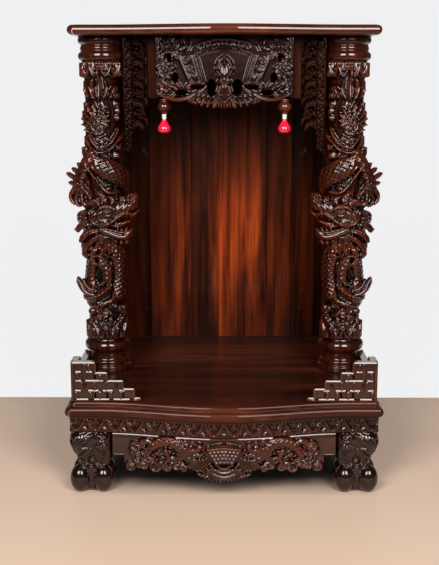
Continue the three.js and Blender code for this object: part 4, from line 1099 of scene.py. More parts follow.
for m in (1, -1):
    def at(points):
        return [(m * x, v) for x, v in points]
    # Open book with a framed page
    book = [(94, -33), (55, -33), (38, -92), (68, -92)]
    for k in range(4):
        cord(frieze, at([book[k], book[(k + 1) % 4]]), 2.0, 4.5, 3.4)
    slope = 17.5 * (frieze.V + 33) / 59.0
    left, right = (55 + slope, 92 + 1.45 * slope)
    raise_between(frieze, -91, -34, left if m > 0 else -right, right if m > 0 else -left, 4.0)
    cord(frieze, at([(61, -38), (45, -88)]), 1.3, 3.4, 4.4, covers=False)
    cord(frieze, at([(66, -38), (50, -88)]), 1.1, 3.0, 4.4, covers=False)
    cord(frieze, at([(88, -38), (66, -88)]), 1.1, 3.0, 4.4, covers=False)
    for x, v, r in ((77, -48, 6.5), (68, -63, 6.0), (60, -77, 5.0)):
        curl(frieze, (m * x, v), r, 1.3, x, 1.9, 3.6, m, 4.0, fill=False)
    # Flowers and leaves of the upper corner
    for x, v, r, n in ((116, -9, 8, 6), (93, -8, 7, 6), (104, -20, 8, 6), (124, -24, 6, 5), (84, -20, 6, 5),
                       (72, -12, 5, 5)):
        rosette(frieze, (m * x, v), r, n, 8.0, 1.5, 0.2 * x)
    for path in ([(128, -10), (122, -22), (128, -34)], [(98, -28), (106, -38), (102, -50)],
                 [(118, -30), (124, -42), (120, -52)], [(90, -26), (98, -36), (92, -48)],
                 [(76, -20), (84, -26), (94, -24)]):
        leaf(frieze, at(path), 4.6, 7.0, 1.5, 4, 0.5)
    # Rose on the side, with its leaves
    rosette(frieze, (m * 115.7, -67), 16.0, 7, 11.0, 2.0, 0.4, rings=3)
    for turn in range(8):
        angle = math.radians(turn * 45 + 20)
        leaf(frieze, at([(115.7 + 12 * math.cos(angle), -67 + 12 * math.sin(angle)),
                         (115.7 + 19.5 * math.cos(angle), -67 + 19.5 * math.sin(angle))]), 5.0, 7.0, 1.5, 1,
             0.4)
    for path in ([(126, -84), (118, -92), (106, -92)], [(128, -92), (124, -104), (128, -114)],
                 [(100, -90), (92, -94), (84, -100)]):
        leaf(frieze, at(path), 5.0, 8.0, 1.5, 4, 0.5)
    # Ribbon that runs down from the side and up again under the book
    cord(frieze, at([(133, -110), (118, -117), (96, -123), (78, -121), (60, -113), (44, -104), (36, -96)]),
         4.4, 7.5, 1.5, groove=3.2, start=0.8, end=0.7)
    cord(frieze, at([(112, -96), (100, -99), (94, -108), (104, -118)]), 3.0, 6.5, 1.5, groove=2.0)
    cord(frieze, at([(72, -92), (74, -102), (66, -110)]), 3.0, 6.5, 1.5, groove=2.0)
    curl(frieze, (m * 70, -97), 6.0, 1.2, 0.4, 2.2, 7.0, m, 1.0)
    # Fan of leaves along the bottom
    for x0, x1, tip in ((14, 22, -141), (24, 35, -139), (34, 48, -136), (44, 61, -132), (54, 74, -127)):
        leaf(frieze, at([(x0, -108), (x0 + 0.35 * (x1 - x0), -122), (x1, tip)]), 7.0, 9.0, 1.0, 1, 0.6,
             point=1.0, vein=0.8)
    for x, v in ((30, -106), (42, -114), (124, -100), (116, -106)):
        curl(frieze, (m * x, v), 4.6, 1.1, x, 1.8, 6.5, m, 1.5)
# Piercings
for x, v, ru, rv in ((110, -41, 5, 9), (98, -80, 6.5, 10.5), (54, -97.5, 15, 5), (26, -99, 9, 17),
                     (86, -109, 12, 6.2)):
    for m in (1, -1):
        r = np.hypot((frieze.U - m * x) / ru, (frieze.V - v) / rv)
        frieze.cover = np.minimum(frieze.cover, (r - 1) * min(ru, rv))
strip = np.abs(frieze.U) > 127
edge_strip = np.clip((np.abs(frieze.U) - 127.5) / 1.0, 0, 1) * 2.6
frieze.height = np.where(strip, np.maximum(frieze.height, edge_strip), frieze.height)
frieze_piece = slab("frieze_carved", frieze, FRIEZE_FACE, 12.0, 12.0, lift=FRIEZE_TOP)
stand_for(frieze_piece, ["frieze"], carved_frieze)
print("frieze:", triangle_count["frieze_carved"])


# %% [markdown]
# ## Legs
# A leg is a cushion-shaped block on four round toes. Its skin is one function: how far the wood reaches from the
# leg's axis at each turn and height. The balls of the toes and the carving of the faces are added to that reach.
# A real leg is sawn square, rounded with a rasp and carved on the two faces that show, so the carving is drawn on one
# flat sheet and laid on both. The rear legs have the same outline and no carving.

# %% Leg shape
LEG_X, LEG_FRONT_Y, LEG_REAR_Y, LEG_TOP = 258.5, -222.5, 258.5, 126.0
OUTER_SIDE = [(0, 20), (6, 25), (30, 27), (46, 25), (62, 25), (74, 29), (88, 35.5), (100, 38.5), (112, 38),
              (121, 35), (126, 33.5)]
INNER_SIDE = [(0, 20), (6, 25), (30, 28), (46, 33), (62, 38), (80, 40.5), (100, 41.5), (121, 41.8),
              (126, 41.3)]
TOE_OUT, TOE_WIDE, TOE_UP, TOE_HEIGHT = 22.6, 19.6, 26.5, 27.5


def leg_reach(turn, z):
    """Reach = the larger of a soft square (its half-width differs outside and inside) and four toe balls."""
    heights, outer = zip(*OUTER_SIDE)
    low, inner = zip(*INNER_SIDE)
    c, s = np.cos(turn), np.sin(turn)
    half_x = np.where(c > 0, np.interp(z, heights, outer), np.interp(z, low, inner))
    half_y = np.where(s > 0, np.interp(z, heights, outer), np.interp(z, low, inner))
    power = 4.6
    block = (np.abs(c / half_x) ** power + np.abs(s / half_y) ** power) ** (-1 / power)
    level = np.clip(1 - ((z - TOE_UP) / TOE_HEIGHT) ** 2, 0, 1)
    toe = np.zeros_like(block)
    for sx in (1, -1):
        for sy in (1, -1):
            along = TOE_OUT * (sx * c + sy * s)
            room = TOE_WIDE ** 2 * level - (2 * TOE_OUT ** 2 - along ** 2)
            toe = np.maximum(toe, np.where((room > 0) & (along > 0), along + np.sqrt(np.clip(room, 0, None)),
                                           0))
    return np.maximum(block, toe)


# %% Leg carving
# On the face sheet u is positive towards the outer corner of the leg.
face = Carving(-44, 44, 0, LEG_TOP, 1.0)
curl(face, (-2, 64), 7.0, 1.2, 0.6, 2.2, 5.5, 1, 0.0)
dome(face, (-2, 64), 3.2, 3.2, 7.0)
cord(face, [(-2, 71), (-1, 80), (-1, 92)], 2.6, 4.0)
leaf(face, [(32, 88), (14, 106), (-8, 122)], 8.0, 5.5, 0.0, 8, 0.5)
leaf(face, [(34, 110), (18, 114), (4, 122)], 5.0, 4.5, 0.0, 5, 0.5)
leaf(face, [(30, 74), (18, 86), (4, 92)], 5.5, 5.0, 0.0, 6, 0.5)
curl(face, (-22, 113), 9.0, 1.4, 0.8, 2.8, 5.5, -1)
for k in range(3):
    cord(face, [(-8 - 3 * k, 96 + 3 * k), (-20, 90 + 2.4 * k), (-32 + 2 * k, 97 + 2 * k)], 2.2, 4.5, 0.5)
    cord(face, [(-16 - 5 * k, 88 - 4 * k), (-27 - 3 * k, 80 - 5 * k), (-34 - 1.5 * k, 66 - 4 * k)], 2.2, 4.0)
for k in range(4):
    cord(face, [(-12 - 6 * k, 60 - 2.0 * k), (-24 - 4 * k, 66 - 4 * k), (-36 - 1 * k, 60 - 6 * k)], 1.8, 3.2)
leaf(face, [(22, 72), (28, 62), (30, 48)], 5.5, 4.0, 0.0, 4, 0.5)
for k in (-1, 0, 1):
    leaf(face, [(0 + 2.0 * k, 54), (1 + 4.2 * k, 32), (0 + 3.0 * k, 4)], 4.6, 5.0, 0.0, 1, 0.4)
leaf(face, [(-8, 56), (-12, 50), (-10, 40)], 3.6, 4.0, 0.0, 1, 0.4)
leaf(face, [(8, 56), (12, 50), (10, 40)], 3.6, 4.0, 0.0, 1, 0.4)


def sampled(sheet, u, v):
    """Height of the sheet at any place, by interpolation between its grid points."""
    fu = np.clip((u - sheet.us[0]) / (sheet.us[1] - sheet.us[0]), 0, len(sheet.us) - 1.001)
    fv = np.clip((v - sheet.vs[0]) / (sheet.vs[1] - sheet.vs[0]), 0, len(sheet.vs) - 1.001)
    i, j = fu.astype(int), fv.astype(int)
    a, b = fu - i, fv - j
    h = soften(sheet.height)
    return (h[j, i] * (1 - a) + h[j, i + 1] * a) * (1 - b) + (h[j + 1, i] * (1 - a) + h[j + 1, i + 1] * a) * b


def leg_mesh(name, x, y, side, rear, columns, rows, carved):
    """Skin of one leg. side is -1 for left legs; rear legs turn their outer corner to the back."""
    turn, z = np.meshgrid(np.linspace(0, 2 * math.pi, columns, endpoint=False),
                          np.linspace(0.2, LEG_TOP - 0.3, rows))
    reach = leg_reach(turn, z)
    c, s = np.cos(turn), np.sin(turn)
    px, py = reach * c, reach * s
    height = np.zeros_like(reach)
    if carved:
        on_front = np.clip((np.abs(s) - np.abs(c)) * 4 + 0.5, 0, 1)
        fade = np.clip((44 - np.abs(np.where(on_front > 0.5, px, py))) / 5, 0, 1)
        outside = np.where(on_front > 0.5, s > 0, c > 0)
        toe_gap = np.where(z < 48, np.clip((9 - np.abs(np.where(on_front > 0.5, px, py))) / 3, 0, 1), 1)
        height = sampled(face, np.where(on_front > 0.5, px, py), z) * fade * toe_gap * np.where(outside, 1.0,
                                                                                                0.0)
        height = np.where(np.minimum(np.abs(s), np.abs(c)) > 0.69, 0, height)
    reach = reach + height * 0.95
    points = np.stack([x + side * reach * c, y + (1 if rear else -1) * reach * s, z], axis=-1).reshape(-1, 3)
    ends = [[x, y, 0.0], [x, y, LEG_TOP - 0.3]]
    quads = grid_quads(rows, columns, wrap=True)
    fans = end_fans(columns, rows, len(points))
    if side * (1 if rear else -1) < 0:
        quads, fans = quads[:, ::-1], fans[:, ::-1]
    # Painted shade in the cuts of the carved faces and painted highlights on their crests
    painted_shading = np.concatenate([hollows(height, 3, wrap=True, depth=1.6).ravel(), [0.4, 0.4]])
    return add_mesh(name, np.vstack([points, ends]), quads, painted_shading, triangles=fans)


for side, name in ((-1, "left"), (1, "right")):
    leg = leg_mesh(f"leg_carved_{name}", side * LEG_X, LEG_FRONT_Y, side, False, 264, 92, True)
    stand_for(leg, [f"leg_front_{name}"], carved_legs)
    leg = leg_mesh(f"leg_plain_{name}", side * LEG_X, LEG_REAR_Y, side, True, 120, 56, False)
    stand_for(leg, [f"leg_rear_{name}"], carved_legs)
print("legs:", triangle_count["leg_carved_left"], triangle_count["leg_plain_left"])

# %% [markdown]
# ## Wings beside the frieze
# Between the posts and the columns hang two narrow panels, carved all over with leaves and curls. They stand in the
# shade of the roof, painted into their darker wood. The right one is drawn and the left one is its mirror image, as a
# carver would turn the pattern.

# %% Wings
wing_low, wing_high = node_box("frieze_wing_right")
WING_IN, WING_OUT = wing_low[0], wing_high[0]
WING_FACE = -46.2
wing = Carving(WING_IN, WING_OUT, -236.0, 0.0, 1.15)
wing_edge = np.interp((wing.U - WING_IN) / (WING_OUT - WING_IN), [0, 0.12, 0.24, 0.56, 0.66, 0.86, 1],
                      [-123, -152, -174, -180, -200, -230, -216])
flat_cover(wing, wing_edge, 0.6, WING_IN - 0.6, WING_OUT + 0.6)
for k in range(9):
    v = -14 - 20 * k
    x = WING_IN + (14 if k % 2 else 34)
    curl(wing, (x, v), 9.0, 1.5, 0.6 + k, 2.6, 6.5, 1 if k % 2 else -1, 1.5)
    leaf(wing, [(x + 6, v + 3), (x + (20 if k % 2 else -18), v + 1), (x + (30 if k % 2 else -28), v - 13)],
         5.5, 7.0, 1.0, 5, 0.5)
    leaf(wing, [(x - 4, v - 6), (x - (12 if k % 2 else -8), v - 12), (x - (12 if k % 2 else -12), v - 22)],
         4.6, 6.5, 1.0, 4, 0.5)
    rosette(wing, (WING_IN + (38 if k % 2 else 12), v - 4), 7.5, 6, 6.5, 1.0, 0.3 * k)
for k in range(4):
    leaf(wing, [(WING_OUT - 16, -176 - 12 * k), (WING_OUT - 10, -186 - 12 * k),
                (WING_OUT - 3, -196 - 10 * k)], 5.0, 6.5, 1.0, 3, 0.5)
cord(wing, [(WING_OUT - 4, -20), (WING_OUT - 3, -110), (WING_OUT - 6, -214)], 2.4, 4.5, 1.0)
wing.height = np.minimum(wing.height, 8.0)
wing.height = wing.height * np.clip((WING_OUT - 14 - wing.U) / 10, 0.3, 1) + 0.6


def mirrored_copy(piece, name):
    """The same mesh mirrored about the middle plane, with its faces turned right side out."""
    source = piece.data
    points = np.empty(len(source.vertices) * 3, dtype=np.float32)
    source.vertices.foreach_get("co", points)
    points = points.reshape(-1, 3) / MM * np.array([-1, 1, 1])
    quads = np.array([face.vertices[:] for face in source.polygons])
    painted_shading = np.empty(len(source.vertices), dtype=np.float32)
    source.attributes["painted_shading"].data.foreach_get("value", painted_shading)
    return add_mesh(name, points, quads[:, ::-1], painted_shading)


wing_right = slab("wing_carved_right", wing, WING_FACE, 9.0, 8.0, lift=FRIEZE_TOP)
wing_left = mirrored_copy(wing_right, "wing_carved_left")
stand_for(wing_right, ["frieze_wing_right"], carved_wings)
stand_for(wing_left, ["frieze_wing_left"], carved_wings)
print("wing:", triangle_count["wing_carved_right"])

# %% [markdown]
# ## Rails with a brick fret
# The rails are stepped boards. Narrow bars with rounded edges are laid on them like the joints of a brick wall.
# Boards and bars are boxes whose twelve edges are planed off, so that every edge catches the light. In the workshop
# the fret is let into the board in short strips, which is why the bars end where the next ones start.

# %% Planed box
def planed_box(low, high, plane):
    """A box with planed edges: each corner gives three points, one for each face that it belongs to."""
    low, high = np.minimum(low, high), np.maximum(low, high)
    corners = np.array([[(low, high)[(k >> axis) & 1][axis] for axis in range(3)] for k in range(8)])
    towards = np.array([[1 - 2 * ((k >> axis) & 1) for axis in range(3)] for k in range(8)]) * plane
    points = np.empty((8, 3, 3))
    for axis in range(3):
        move = towards.astype(float).copy()
        move[:, axis] = 0
        points[:, axis] = corners + move
    quads = []
    for axis in range(3):
        for end in (0, 1):
            others = [a for a in range(3) if a != axis]
            ring = []
            for p, q in ((0, 0), (1, 0), (1, 1), (0, 1)):
                k = (end << axis) | (p << others[0]) | (q << others[1])
                ring.append(3 * k + axis)
            outward = (end == 1) == (axis != 1)
            quads.append(ring if outward else ring[::-1])
    for axis in range(3):
        a, b = [other for other in range(3) if other != axis]
        for p in (0, 1):
            for q in (0, 1):
                k0 = (p << a) | (q << b)
                k1 = k0 | (1 << axis)
                ring = [3 * k0 + a, 3 * k1 + a, 3 * k1 + b, 3 * k0 + b]
                outward = (p == q) != (axis == 1)
                quads.append(ring if outward else ring[::-1])
    threes = []
    for k in range(8):
        ring = [3 * k, 3 * k + 1, 3 * k + 2]
        outward = bin(k).count("1") % 2 == 1
        threes.append(ring if outward else ring[::-1])
    return points.reshape(-1, 3), np.array(quads), np.array(threes)


def joined(parts):
    """One set of points, quads and triangles from several."""
    points, quads, threes, first = [], [], [], 0
    for p, q, t in parts:
        points.append(p)
        quads.append(q + first)
        threes.append(t + first)
        first += len(p)
    return np.vstack(points), np.vstack(quads), np.vstack(threes)


# %% Corner and side rails
RAIL_STEPS = [(48.0, 78.0), (71.0, 58.0), (101.0, 42.0), (122.0, 26.0), (135.0, 8.0)]
RAIL_THICK, RAIL_GROUND, RAIL_PROUD, BAR = 13.0, 3.4, -2.4, 5.4
# How far the far side of a two-faced rail is drawn in, how deep a bar reaches into it, and half the side of a boss
FAR_INSET, BAR_DEPTH, BOSS = 2.4, 5.0, 3.6
# Painted shade of the bars and of the darker ground behind them, as a shading share, on the corner rails and on the
# side rails
CORNER_BARS, CORNER_GROUND = 0.55, 0.43
SIDE_BARS, SIDE_GROUND = 0.56, 0.45
rail_low = node_box("corner_rail_left")[0]
RAIL_OUT, RAIL_FACE, RAIL_FOOT = -rail_low[0], rail_low[1] + 2.5, rail_low[2]
# A bar's edge is cut back this far in x, y and z: its upper bevel then faces the light
BAR_EDGE = np.array([1.9, 1.2, 2.4])
# Bars of the fret on the corner rail: height and both ends, then uprights: reach and both ends, from the outer foot
FRET_LEVELS = [(3.2, 8, 34), (3.2, 42, 74), (3.2, 79, 113), (3.2, 118, 127), (20.5, 6, 20), (20.5, 31, 54),
               (20.5, 59, 81), (20.5, 90, 104), (40.0, 7, 21), (40.0, 26, 63), (57.5, 7, 21), (57.5, 28, 42)]
FRET_POSTS = [(26.5, 41, 76), (37.0, 3, 20), (44.5, 20, 40), (55.0, 3, 20), (67.5, 20, 40), (76.0, 3, 20),
              (95.0, 3, 21), (20.0, 20, 40), (9.0, 3, 20), (12.0, 40, 58), (34.0, 57, 74), (56.0, 40, 54)]


def stepped_rail(steps, levels, posts, bosses, both=False):
    """A recessed board with a thick cap on each step, and rounded bars laid on its face like brick joints."""
    parts = []
    before, last = 0.0, steps[-1][0]
    behind = RAIL_THICK - RAIL_GROUND if both else RAIL_THICK
    far = RAIL_THICK - RAIL_PROUD - FAR_INSET if both else RAIL_THICK
    for k, (reach, height) in enumerate(steps):
        parts.append(planed_box((before, RAIL_GROUND, 0), (reach, behind, height - 1), 0.8))
        parts.append(planed_box((before, RAIL_PROUD, height - BAR), (reach, far, height), BAR_EDGE))
        after = steps[k + 1][1] if k + 1 < len(steps) else 0.0
        parts.append(planed_box((reach - BAR, RAIL_PROUD, max(after - BAR, 0)), (reach, far, height),
                                BAR_EDGE))
        before = reach - BAR
    parts.append(planed_box((0, RAIL_PROUD, 0), (BAR, far, steps[0][1]), BAR_EDGE))
    parts.append(planed_box((0, RAIL_PROUD, 0), (last, far, 3.6), 1.5))
    faces = [(RAIL_PROUD, BAR_DEPTH)] + ([(RAIL_THICK - BAR_DEPTH, far)] if both else [])
    for near, deep in faces:
        for height, start, end in levels:
            parts.append(planed_box((start, near, height - BAR / 2), (end, deep, height + BAR / 2), BAR_EDGE))
        for reach, low, high in posts:
            parts.append(planed_box((reach - BAR / 2, near, low), (reach + BAR / 2, deep, high), BAR_EDGE))
        for reach, height in bosses:
            parts.append(planed_box((reach - BOSS, near, height - BOSS), (reach + BOSS, deep, height + BOSS),
                                    2.4))
    return joined(parts)


def rail_piece(name, arrays, node, painted_shading):
    """A rail and its material. Its shading share paints the ground behind the bars darker than the bars, as painted
    shade.
    """
    points, quads, threes = arrays
    piece = add_mesh(name, points, quads, painted_shading, smooth=False, triangles=threes)
    stand_for(piece, [node], carved_across)


points, quads, threes = stepped_rail(RAIL_STEPS, FRET_LEVELS, FRET_POSTS, ((26, 30.5), (86, 30.0)))
# Bars lighter, ground behind them darker: painted shade
proud = np.where(points[:, 1] < 1.0, CORNER_BARS, CORNER_GROUND)
left_points = points + np.array([-RAIL_OUT, RAIL_FACE, RAIL_FOOT])
rail_piece("corner_fret_left", (left_points, quads, threes), "corner_rail_left", proud)
rail_piece("corner_fret_right", (left_points * np.array([-1, 1, 1]), quads[:, ::-1], threes[:, ::-1]),
           "corner_rail_right", proud)
print("corner rail:", triangle_count["corner_fret_left"])

side_low, side_high = node_box("side_rail_left")
SOCKET = 50.8
FRET_PITCH = 22
side_end = side_high[1] - side_low[1]
points, quads, threes = stepped_rail([(37.0, 76.0), (side_end, 46.0)],
                                     [(20.5, 6, 30), (20.5, 38, 74), (20.5, 82, 120),
                                      (20.5, 128, side_end - 8), (57, 8, 30)],
                                     [(18 + FRET_PITCH * k, 3 if k % 2 else 20, 20 if k % 2 else 40)
                                      for k in range(int((side_end - 30) / FRET_PITCH))],
                                     ((48, 31), (104, 31)), both=True)
across = points[:, 1] - RAIL_PROUD
place = np.stack([side_low[0] + across * (side_high[0] - side_low[0])
                  / (RAIL_THICK - RAIL_PROUD * 2 - FAR_INSET), side_low[1] + points[:, 0],
                  side_low[2] + points[:, 2]], axis=1)
reach_side = np.clip(SOCKET ** 2 - (place[:, 0] + COLUMN_X) ** 2, 0, None)
place[:, 1] = np.minimum(place[:, 1], COLUMN_Y - np.sqrt(reach_side))
# Bars lighter, ground behind them darker: painted shade
proud = np.where(np.abs(across - across.mean()) > 4.6, SIDE_BARS, SIDE_GROUND)
rail_piece("side_fret_left", (place, quads[:, ::-1], threes[:, ::-1]), "side_rail_left", proud)
rail_piece("side_fret_right", (place * np.array([-1, 1, 1]), quads, threes), "side_rail_right", proud)

# %% [markdown]
# ## Side and back aprons
# The sides and the back aren't seen in the photo. Their aprons are plain boards whose lower edge follows the same
# run as the front: level, a scroll, a hollow, and a shallow middle.

# %% Plain aprons
APRON_DROPS = [(0, 49), (36, 49), (46, 58), (52, 72), (62, 68), (84, 62), (120, 64)]


def plain_apron(name, node, across):
    """A board whose cross-section is set at stations along it. A shallow groove follows its lower edge."""
    low, high = node_box(node)
    depth = 1 - across
    half = (high[across] - low[across]) / 2
    middle = (high[across] + low[across]) / 2
    places = np.linspace(-half, half, 121)
    reach, drop = zip(*(APRON_DROPS + [(half, 66)]))
    fall = np.interp(half - np.abs(places), reach, drop)
    fall = np.convolve(np.pad(fall, 2, mode="edge"), np.ones(5) / 5, mode="valid")
    rings = []
    near, far = low[depth], high[depth]
    for place, down in zip(places, fall):
        bottom = max(high[2] - down, low[2])
        section = [(near + 1.2, high[2]), (far - 1.2, high[2]), (far, high[2] - 1.2), (far, bottom + 11),
                   (far - 1, bottom + 10), (far - 1, bottom + 8), (far, bottom + 7), (far, bottom + 1.5),
                   (far - 1.5, bottom), (near + 1.5, bottom), (near, bottom + 1.5), (near, bottom + 7),
                   (near + 1, bottom + 8), (near + 1, bottom + 10), (near, bottom + 11),
                   (near, high[2] - 1.2)]
        rings.append([(middle + place, d, z) if across == 0 else (d, middle + place, z) for d, z in section])
    points = np.array(rings)
    count = points.shape[1]
    quads = grid_quads(len(rings), count, wrap=True)
    last = count * (len(rings) - 1)
    caps = [(k, k + 1, count - 2 - k, count - 1 - k) for k in range(count // 2 - 1)]
    far_caps = [tuple(c + last for c in cap[::-1]) for cap in caps]
    quads = np.vstack([quads, caps, far_caps])
    piece = add_mesh(name, points.reshape(-1, 3), quads if across == 0 else quads[:, ::-1], smooth=False)
    stand_for(piece, [node], wood_across if across == 0 else wood_deep)


plain_apron("apron_plain_left", "apron_left", 1)
plain_apron("apron_plain_right", "apron_right", 1)
plain_apron("apron_plain_back", "apron_back", 0)

# %% [markdown]
# ## Walls of the niche
# The back is glued up from wide planks, each sawn from another part of the log, so each has its own tone and
# figure. A fine V-groove shows at every joint. The side walls are made in the same way, and plainer.

# %% Planked walls
WALL_SEAMS = [-177.0, -78.0, -13.0, 101.0, 159.0, 215.0]
# Tone of each plank from left to right, 0 for the darkest and 1 for the lightest
PLANK_TONES = (0.08, 0.80, 0.50, 0.84, 0.42, 0.20, 0.06)


def planked_wall(name, low, high, seams, across, groove=1.2):
    """A wall whose face is a strip of flat planks with V-grooves. across is the axis that the planks lie along."""
    depth = 1 - across
    cuts = sorted([low[across]] + [s for seam in seams for s in (seam - groove, seam, seam + groove)]
                  + [high[across]])
    dips = [groove if any(abs(c - seam) < 1e-6 for seam in seams) else 0.0 for c in cuts]
    ring = [(c, low[depth] + d) for c, d in zip(cuts, dips)] + [(c, high[depth] - d) for c,
                                                                d in zip(cuts[::-1], dips[::-1])]
    count = len(ring)
    levels = (low[2], high[2])
    points = np.array([[(c, d, z) if across == 0 else (d, c, z) for c, d in ring]
                       for z in levels]).reshape(-1, 3)
    quads = grid_quads(2, count, wrap=True)
    half = len(cuts)
    caps = []
    for k in range(half - 1):
        a, b, c, d = k, k + 1, count - 2 - k, count - 1 - k
        caps.append((d, c, b, a))
        caps.append((a + count, b + count, c + count, d + count))
    quads = np.vstack([quads, caps])
    if across == 1:
        quads = quads[:, ::-1]
    wall = add_mesh(name, points, quads, smooth=False)
    layer = wall.data.attributes.new("plank", "FLOAT", "FACE")
    middle = np.array([points[list(face.vertices)].mean(0)[across] for face in wall.data.polygons])
    tone = np.array(PLANK_TONES)[np.digitize(middle, seams)]
    layer.data.foreach_set("value", tone.astype(np.float32))
    return wall


# The back wall is painted lightest round this place (x and z, in metres), a painted pool of light, and this is how
# far the pool reaches
LIGHT_POOL_X, LIGHT_POOL_Z, LIGHT_POOL_WIDE, LIGHT_POOL_TALL = 0.02, 0.47, 0.21, 0.31


def planks(name, palette, seed):
    """Wide rosewood planks: broad cathedral figure from dark to flame red, black streaks, and a tone for each plank.
    The walls are painted lighter round a pool of painted light and darker away from it and towards the roof, as
    painted shade."""
    material, tree, shader = new_material(name)
    plank = add_node(tree, "ShaderNodeAttribute", attribute_name="plank").outputs["Fac"]
    where = add_node(tree, "ShaderNodeTexCoord")
    shift = add_node(tree, "ShaderNodeVectorMath", operation="SCALE")
    shift.inputs["Scale"].default_value = 7.0
    combine = tree.nodes.new("ShaderNodeCombineXYZ")
    for axis in "XYZ":
        tree.links.new(plank, combine.inputs[axis])
    tree.links.new(combine.outputs[0], shift.inputs[0])
    moved = add_node(tree, "ShaderNodeVectorMath", operation="ADD")
    tree.links.new(where.outputs["Object"], moved.inputs[0])
    tree.links.new(shift.outputs[0], moved.inputs[1])

    def figure_noise(scale, stretch, detail, distortion, offset):
        mapping = add_node(tree, "ShaderNodeMapping")
        mapping.inputs["Scale"].default_value = (scale, scale, scale * stretch)
        mapping.inputs["Location"].default_value = (offset, offset, offset)
        noise = add_node(tree, "ShaderNodeTexNoise", Scale=1.0, Detail=detail, Roughness=0.55,
                         Distortion=distortion)
        tree.links.new(moved.outputs[0], mapping.inputs["Vector"])
        tree.links.new(mapping.outputs["Vector"], noise.inputs["Vector"])
        return noise.outputs["Fac"]

    broad = figure_noise(8.0, 0.17, 3.0, 1.2, seed)
    cloud = figure_noise(4.5, 0.30, 2.0, 0.5, seed + 6)
    lines = figure_noise(80.0, 0.035, 4.0, 0.3, seed + 2)
    fine = figure_noise(420.0, 0.03, 3.0, 0.0, seed + 4)
    colour = ramp(tree, broad, list(zip((0.30, 0.46, 0.58, 0.76), palette)))
    colour = shaded_by(tree, colour, lines, [(0.36, (0.36, 0.31, 0.30)), (0.54, (1.0, 1.0, 1.0))])
    colour = shaded_by(tree, colour, cloud, [(0.36, (0.50, 0.46, 0.45)), (0.58, (1.1, 1.05, 1.0))])
    around_pool = add_node(tree, "ShaderNodeMapping")
    around_pool.inputs["Scale"].default_value = (1 / LIGHT_POOL_WIDE, 0.0, 1 / LIGHT_POOL_TALL)
    around_pool.inputs["Location"].default_value = (-LIGHT_POOL_X / LIGHT_POOL_WIDE, 0.0, -LIGHT_POOL_Z / LIGHT_POOL_TALL)
    tree.links.new(where.outputs["Object"], around_pool.inputs["Vector"])
    from_pool = add_node(tree, "ShaderNodeVectorMath", operation="LENGTH")
    tree.links.new(around_pool.outputs["Vector"], from_pool.inputs[0])
    # Painted light and shade: lighter round the pool of light, darker away from it
    colour = shaded_by(tree, colour, from_pool.outputs["Value"],
                       [(0.15, (1.35, 1.2, 1.0)), (0.65, (0.72, 0.68, 0.66)), (1.0, (0.42, 0.36, 0.36))])
    colour = shaded_by(tree, colour, fine, [(0.35, (0.72, 0.70, 0.68)), (0.6, (1.0, 1.0, 1.0))])
    colour = shaded_by(tree, colour, plank,
                       [(0.0, (0.30, 0.28, 0.28)), (0.5, (0.85, 0.85, 0.85)), (1.0, (1.45, 1.3, 1.15))])
    # Painted shade: darker towards the roof
    level = tree.nodes.new("ShaderNodeSeparateXYZ")
    tree.links.new(where.outputs["Object"], level.inputs[0])
    colour = shaded_by(tree, colour, level.outputs["Z"],
                       [(0.34, (1.0, 1.0, 1.0)), (0.62, (0.62, 0.60, 0.60)), (0.84, (0.22, 0.24, 0.26))])
    tree.links.new(colour, shader.inputs["Base Color"])
    surface(tree, shader, lines, 0.24, 0.42, fine, 0.08)
    lacquer(shader, 0.15, 0.05)
    return material


FIGURED_WOOD = ((0.016, 0.0036, 0.0018), (0.080, 0.0145, 0.0048), (0.27, 0.048, 0.0105), (0.56, 0.112, 0.019))
# The side walls' palette is darker, as painted shade
SHADED_WOOD = ((0.005, 0.0013, 0.0007), (0.015, 0.0032, 0.0014), (0.034, 0.0066, 0.0024),
               (0.06, 0.0120, 0.0036))
figured = planks("figured_planks", FIGURED_WOOD, 3.0)
shaded = planks("shaded_planks", SHADED_WOOD, 6.0)
back_low, back_high = node_box("back_wall")
wall = planked_wall("back_planks", back_low, back_high, WALL_SEAMS, 0)
stand_for(wall, ["back_wall"], figured)
for name in ("left", "right"):
    low, high = node_box(f"side_wall_{name}")
    wall = planked_wall(f"side_planks_{name}", low, high, [low[1] + 72.0, low[1] + 150.0], 1)
    stand_for(wall, [f"side_wall_{name}"], shaded)

# %% Posts, plain aprons and side bands
PLANED_NODES = {"rear_post_left": wood_upright, "rear_post_right": wood_upright,
                "frieze_post_left": wood_posts, "frieze_post_right": wood_posts,
                "carved_band_left": wood_deep, "carved_band_right": wood_deep,
                "carved_band_back": wood_across}
for node, wood in PLANED_NODES.items():
    low, high = node_box(node)
    points, quads, threes = planed_box(low, high, 1.2)
    piece = add_mesh(node.replace("carved_", "plain_") + "_planed", points, quads, smooth=False,
                     triangles=threes)
    stand_for(piece, [node], wood)

# %% [markdown]
# ## Turned drops and lamps
# The drops are turned on a lathe and glued under the ends of the frieze. Each holds a small pale socket with a red
# lamp. All three are outlines turned about an upright axis, with more points laid on the outline where it curves.

# %% Turning
def turned(name, profile, x, y, top, sides=64):
    """A closed turned piece: the profile is (radius, height below top), from top to bottom."""
    profile = np.array(profile, dtype=float)
    turn = np.linspace(0, 2 * math.pi, sides, endpoint=False)
    rings = profile[1:-1]
    points = np.stack([x + rings[:, :1] * np.cos(turn), y + rings[:, :1] * np.sin(turn),
                       top - rings[:, 1:] + 0 * turn], axis=-1).reshape(-1, 3)
    ends = [[x, y, top - profile[0, 1]], [x, y, top - profile[-1, 1]]]
    quads, fans = grid_quads(len(rings), sides, wrap=True), end_fans(sides, len(rings), len(points))
    return add_mesh(name, np.vstack([points, ends]), quads[:, ::-1], triangles=fans[:, [0, 2, 1]])


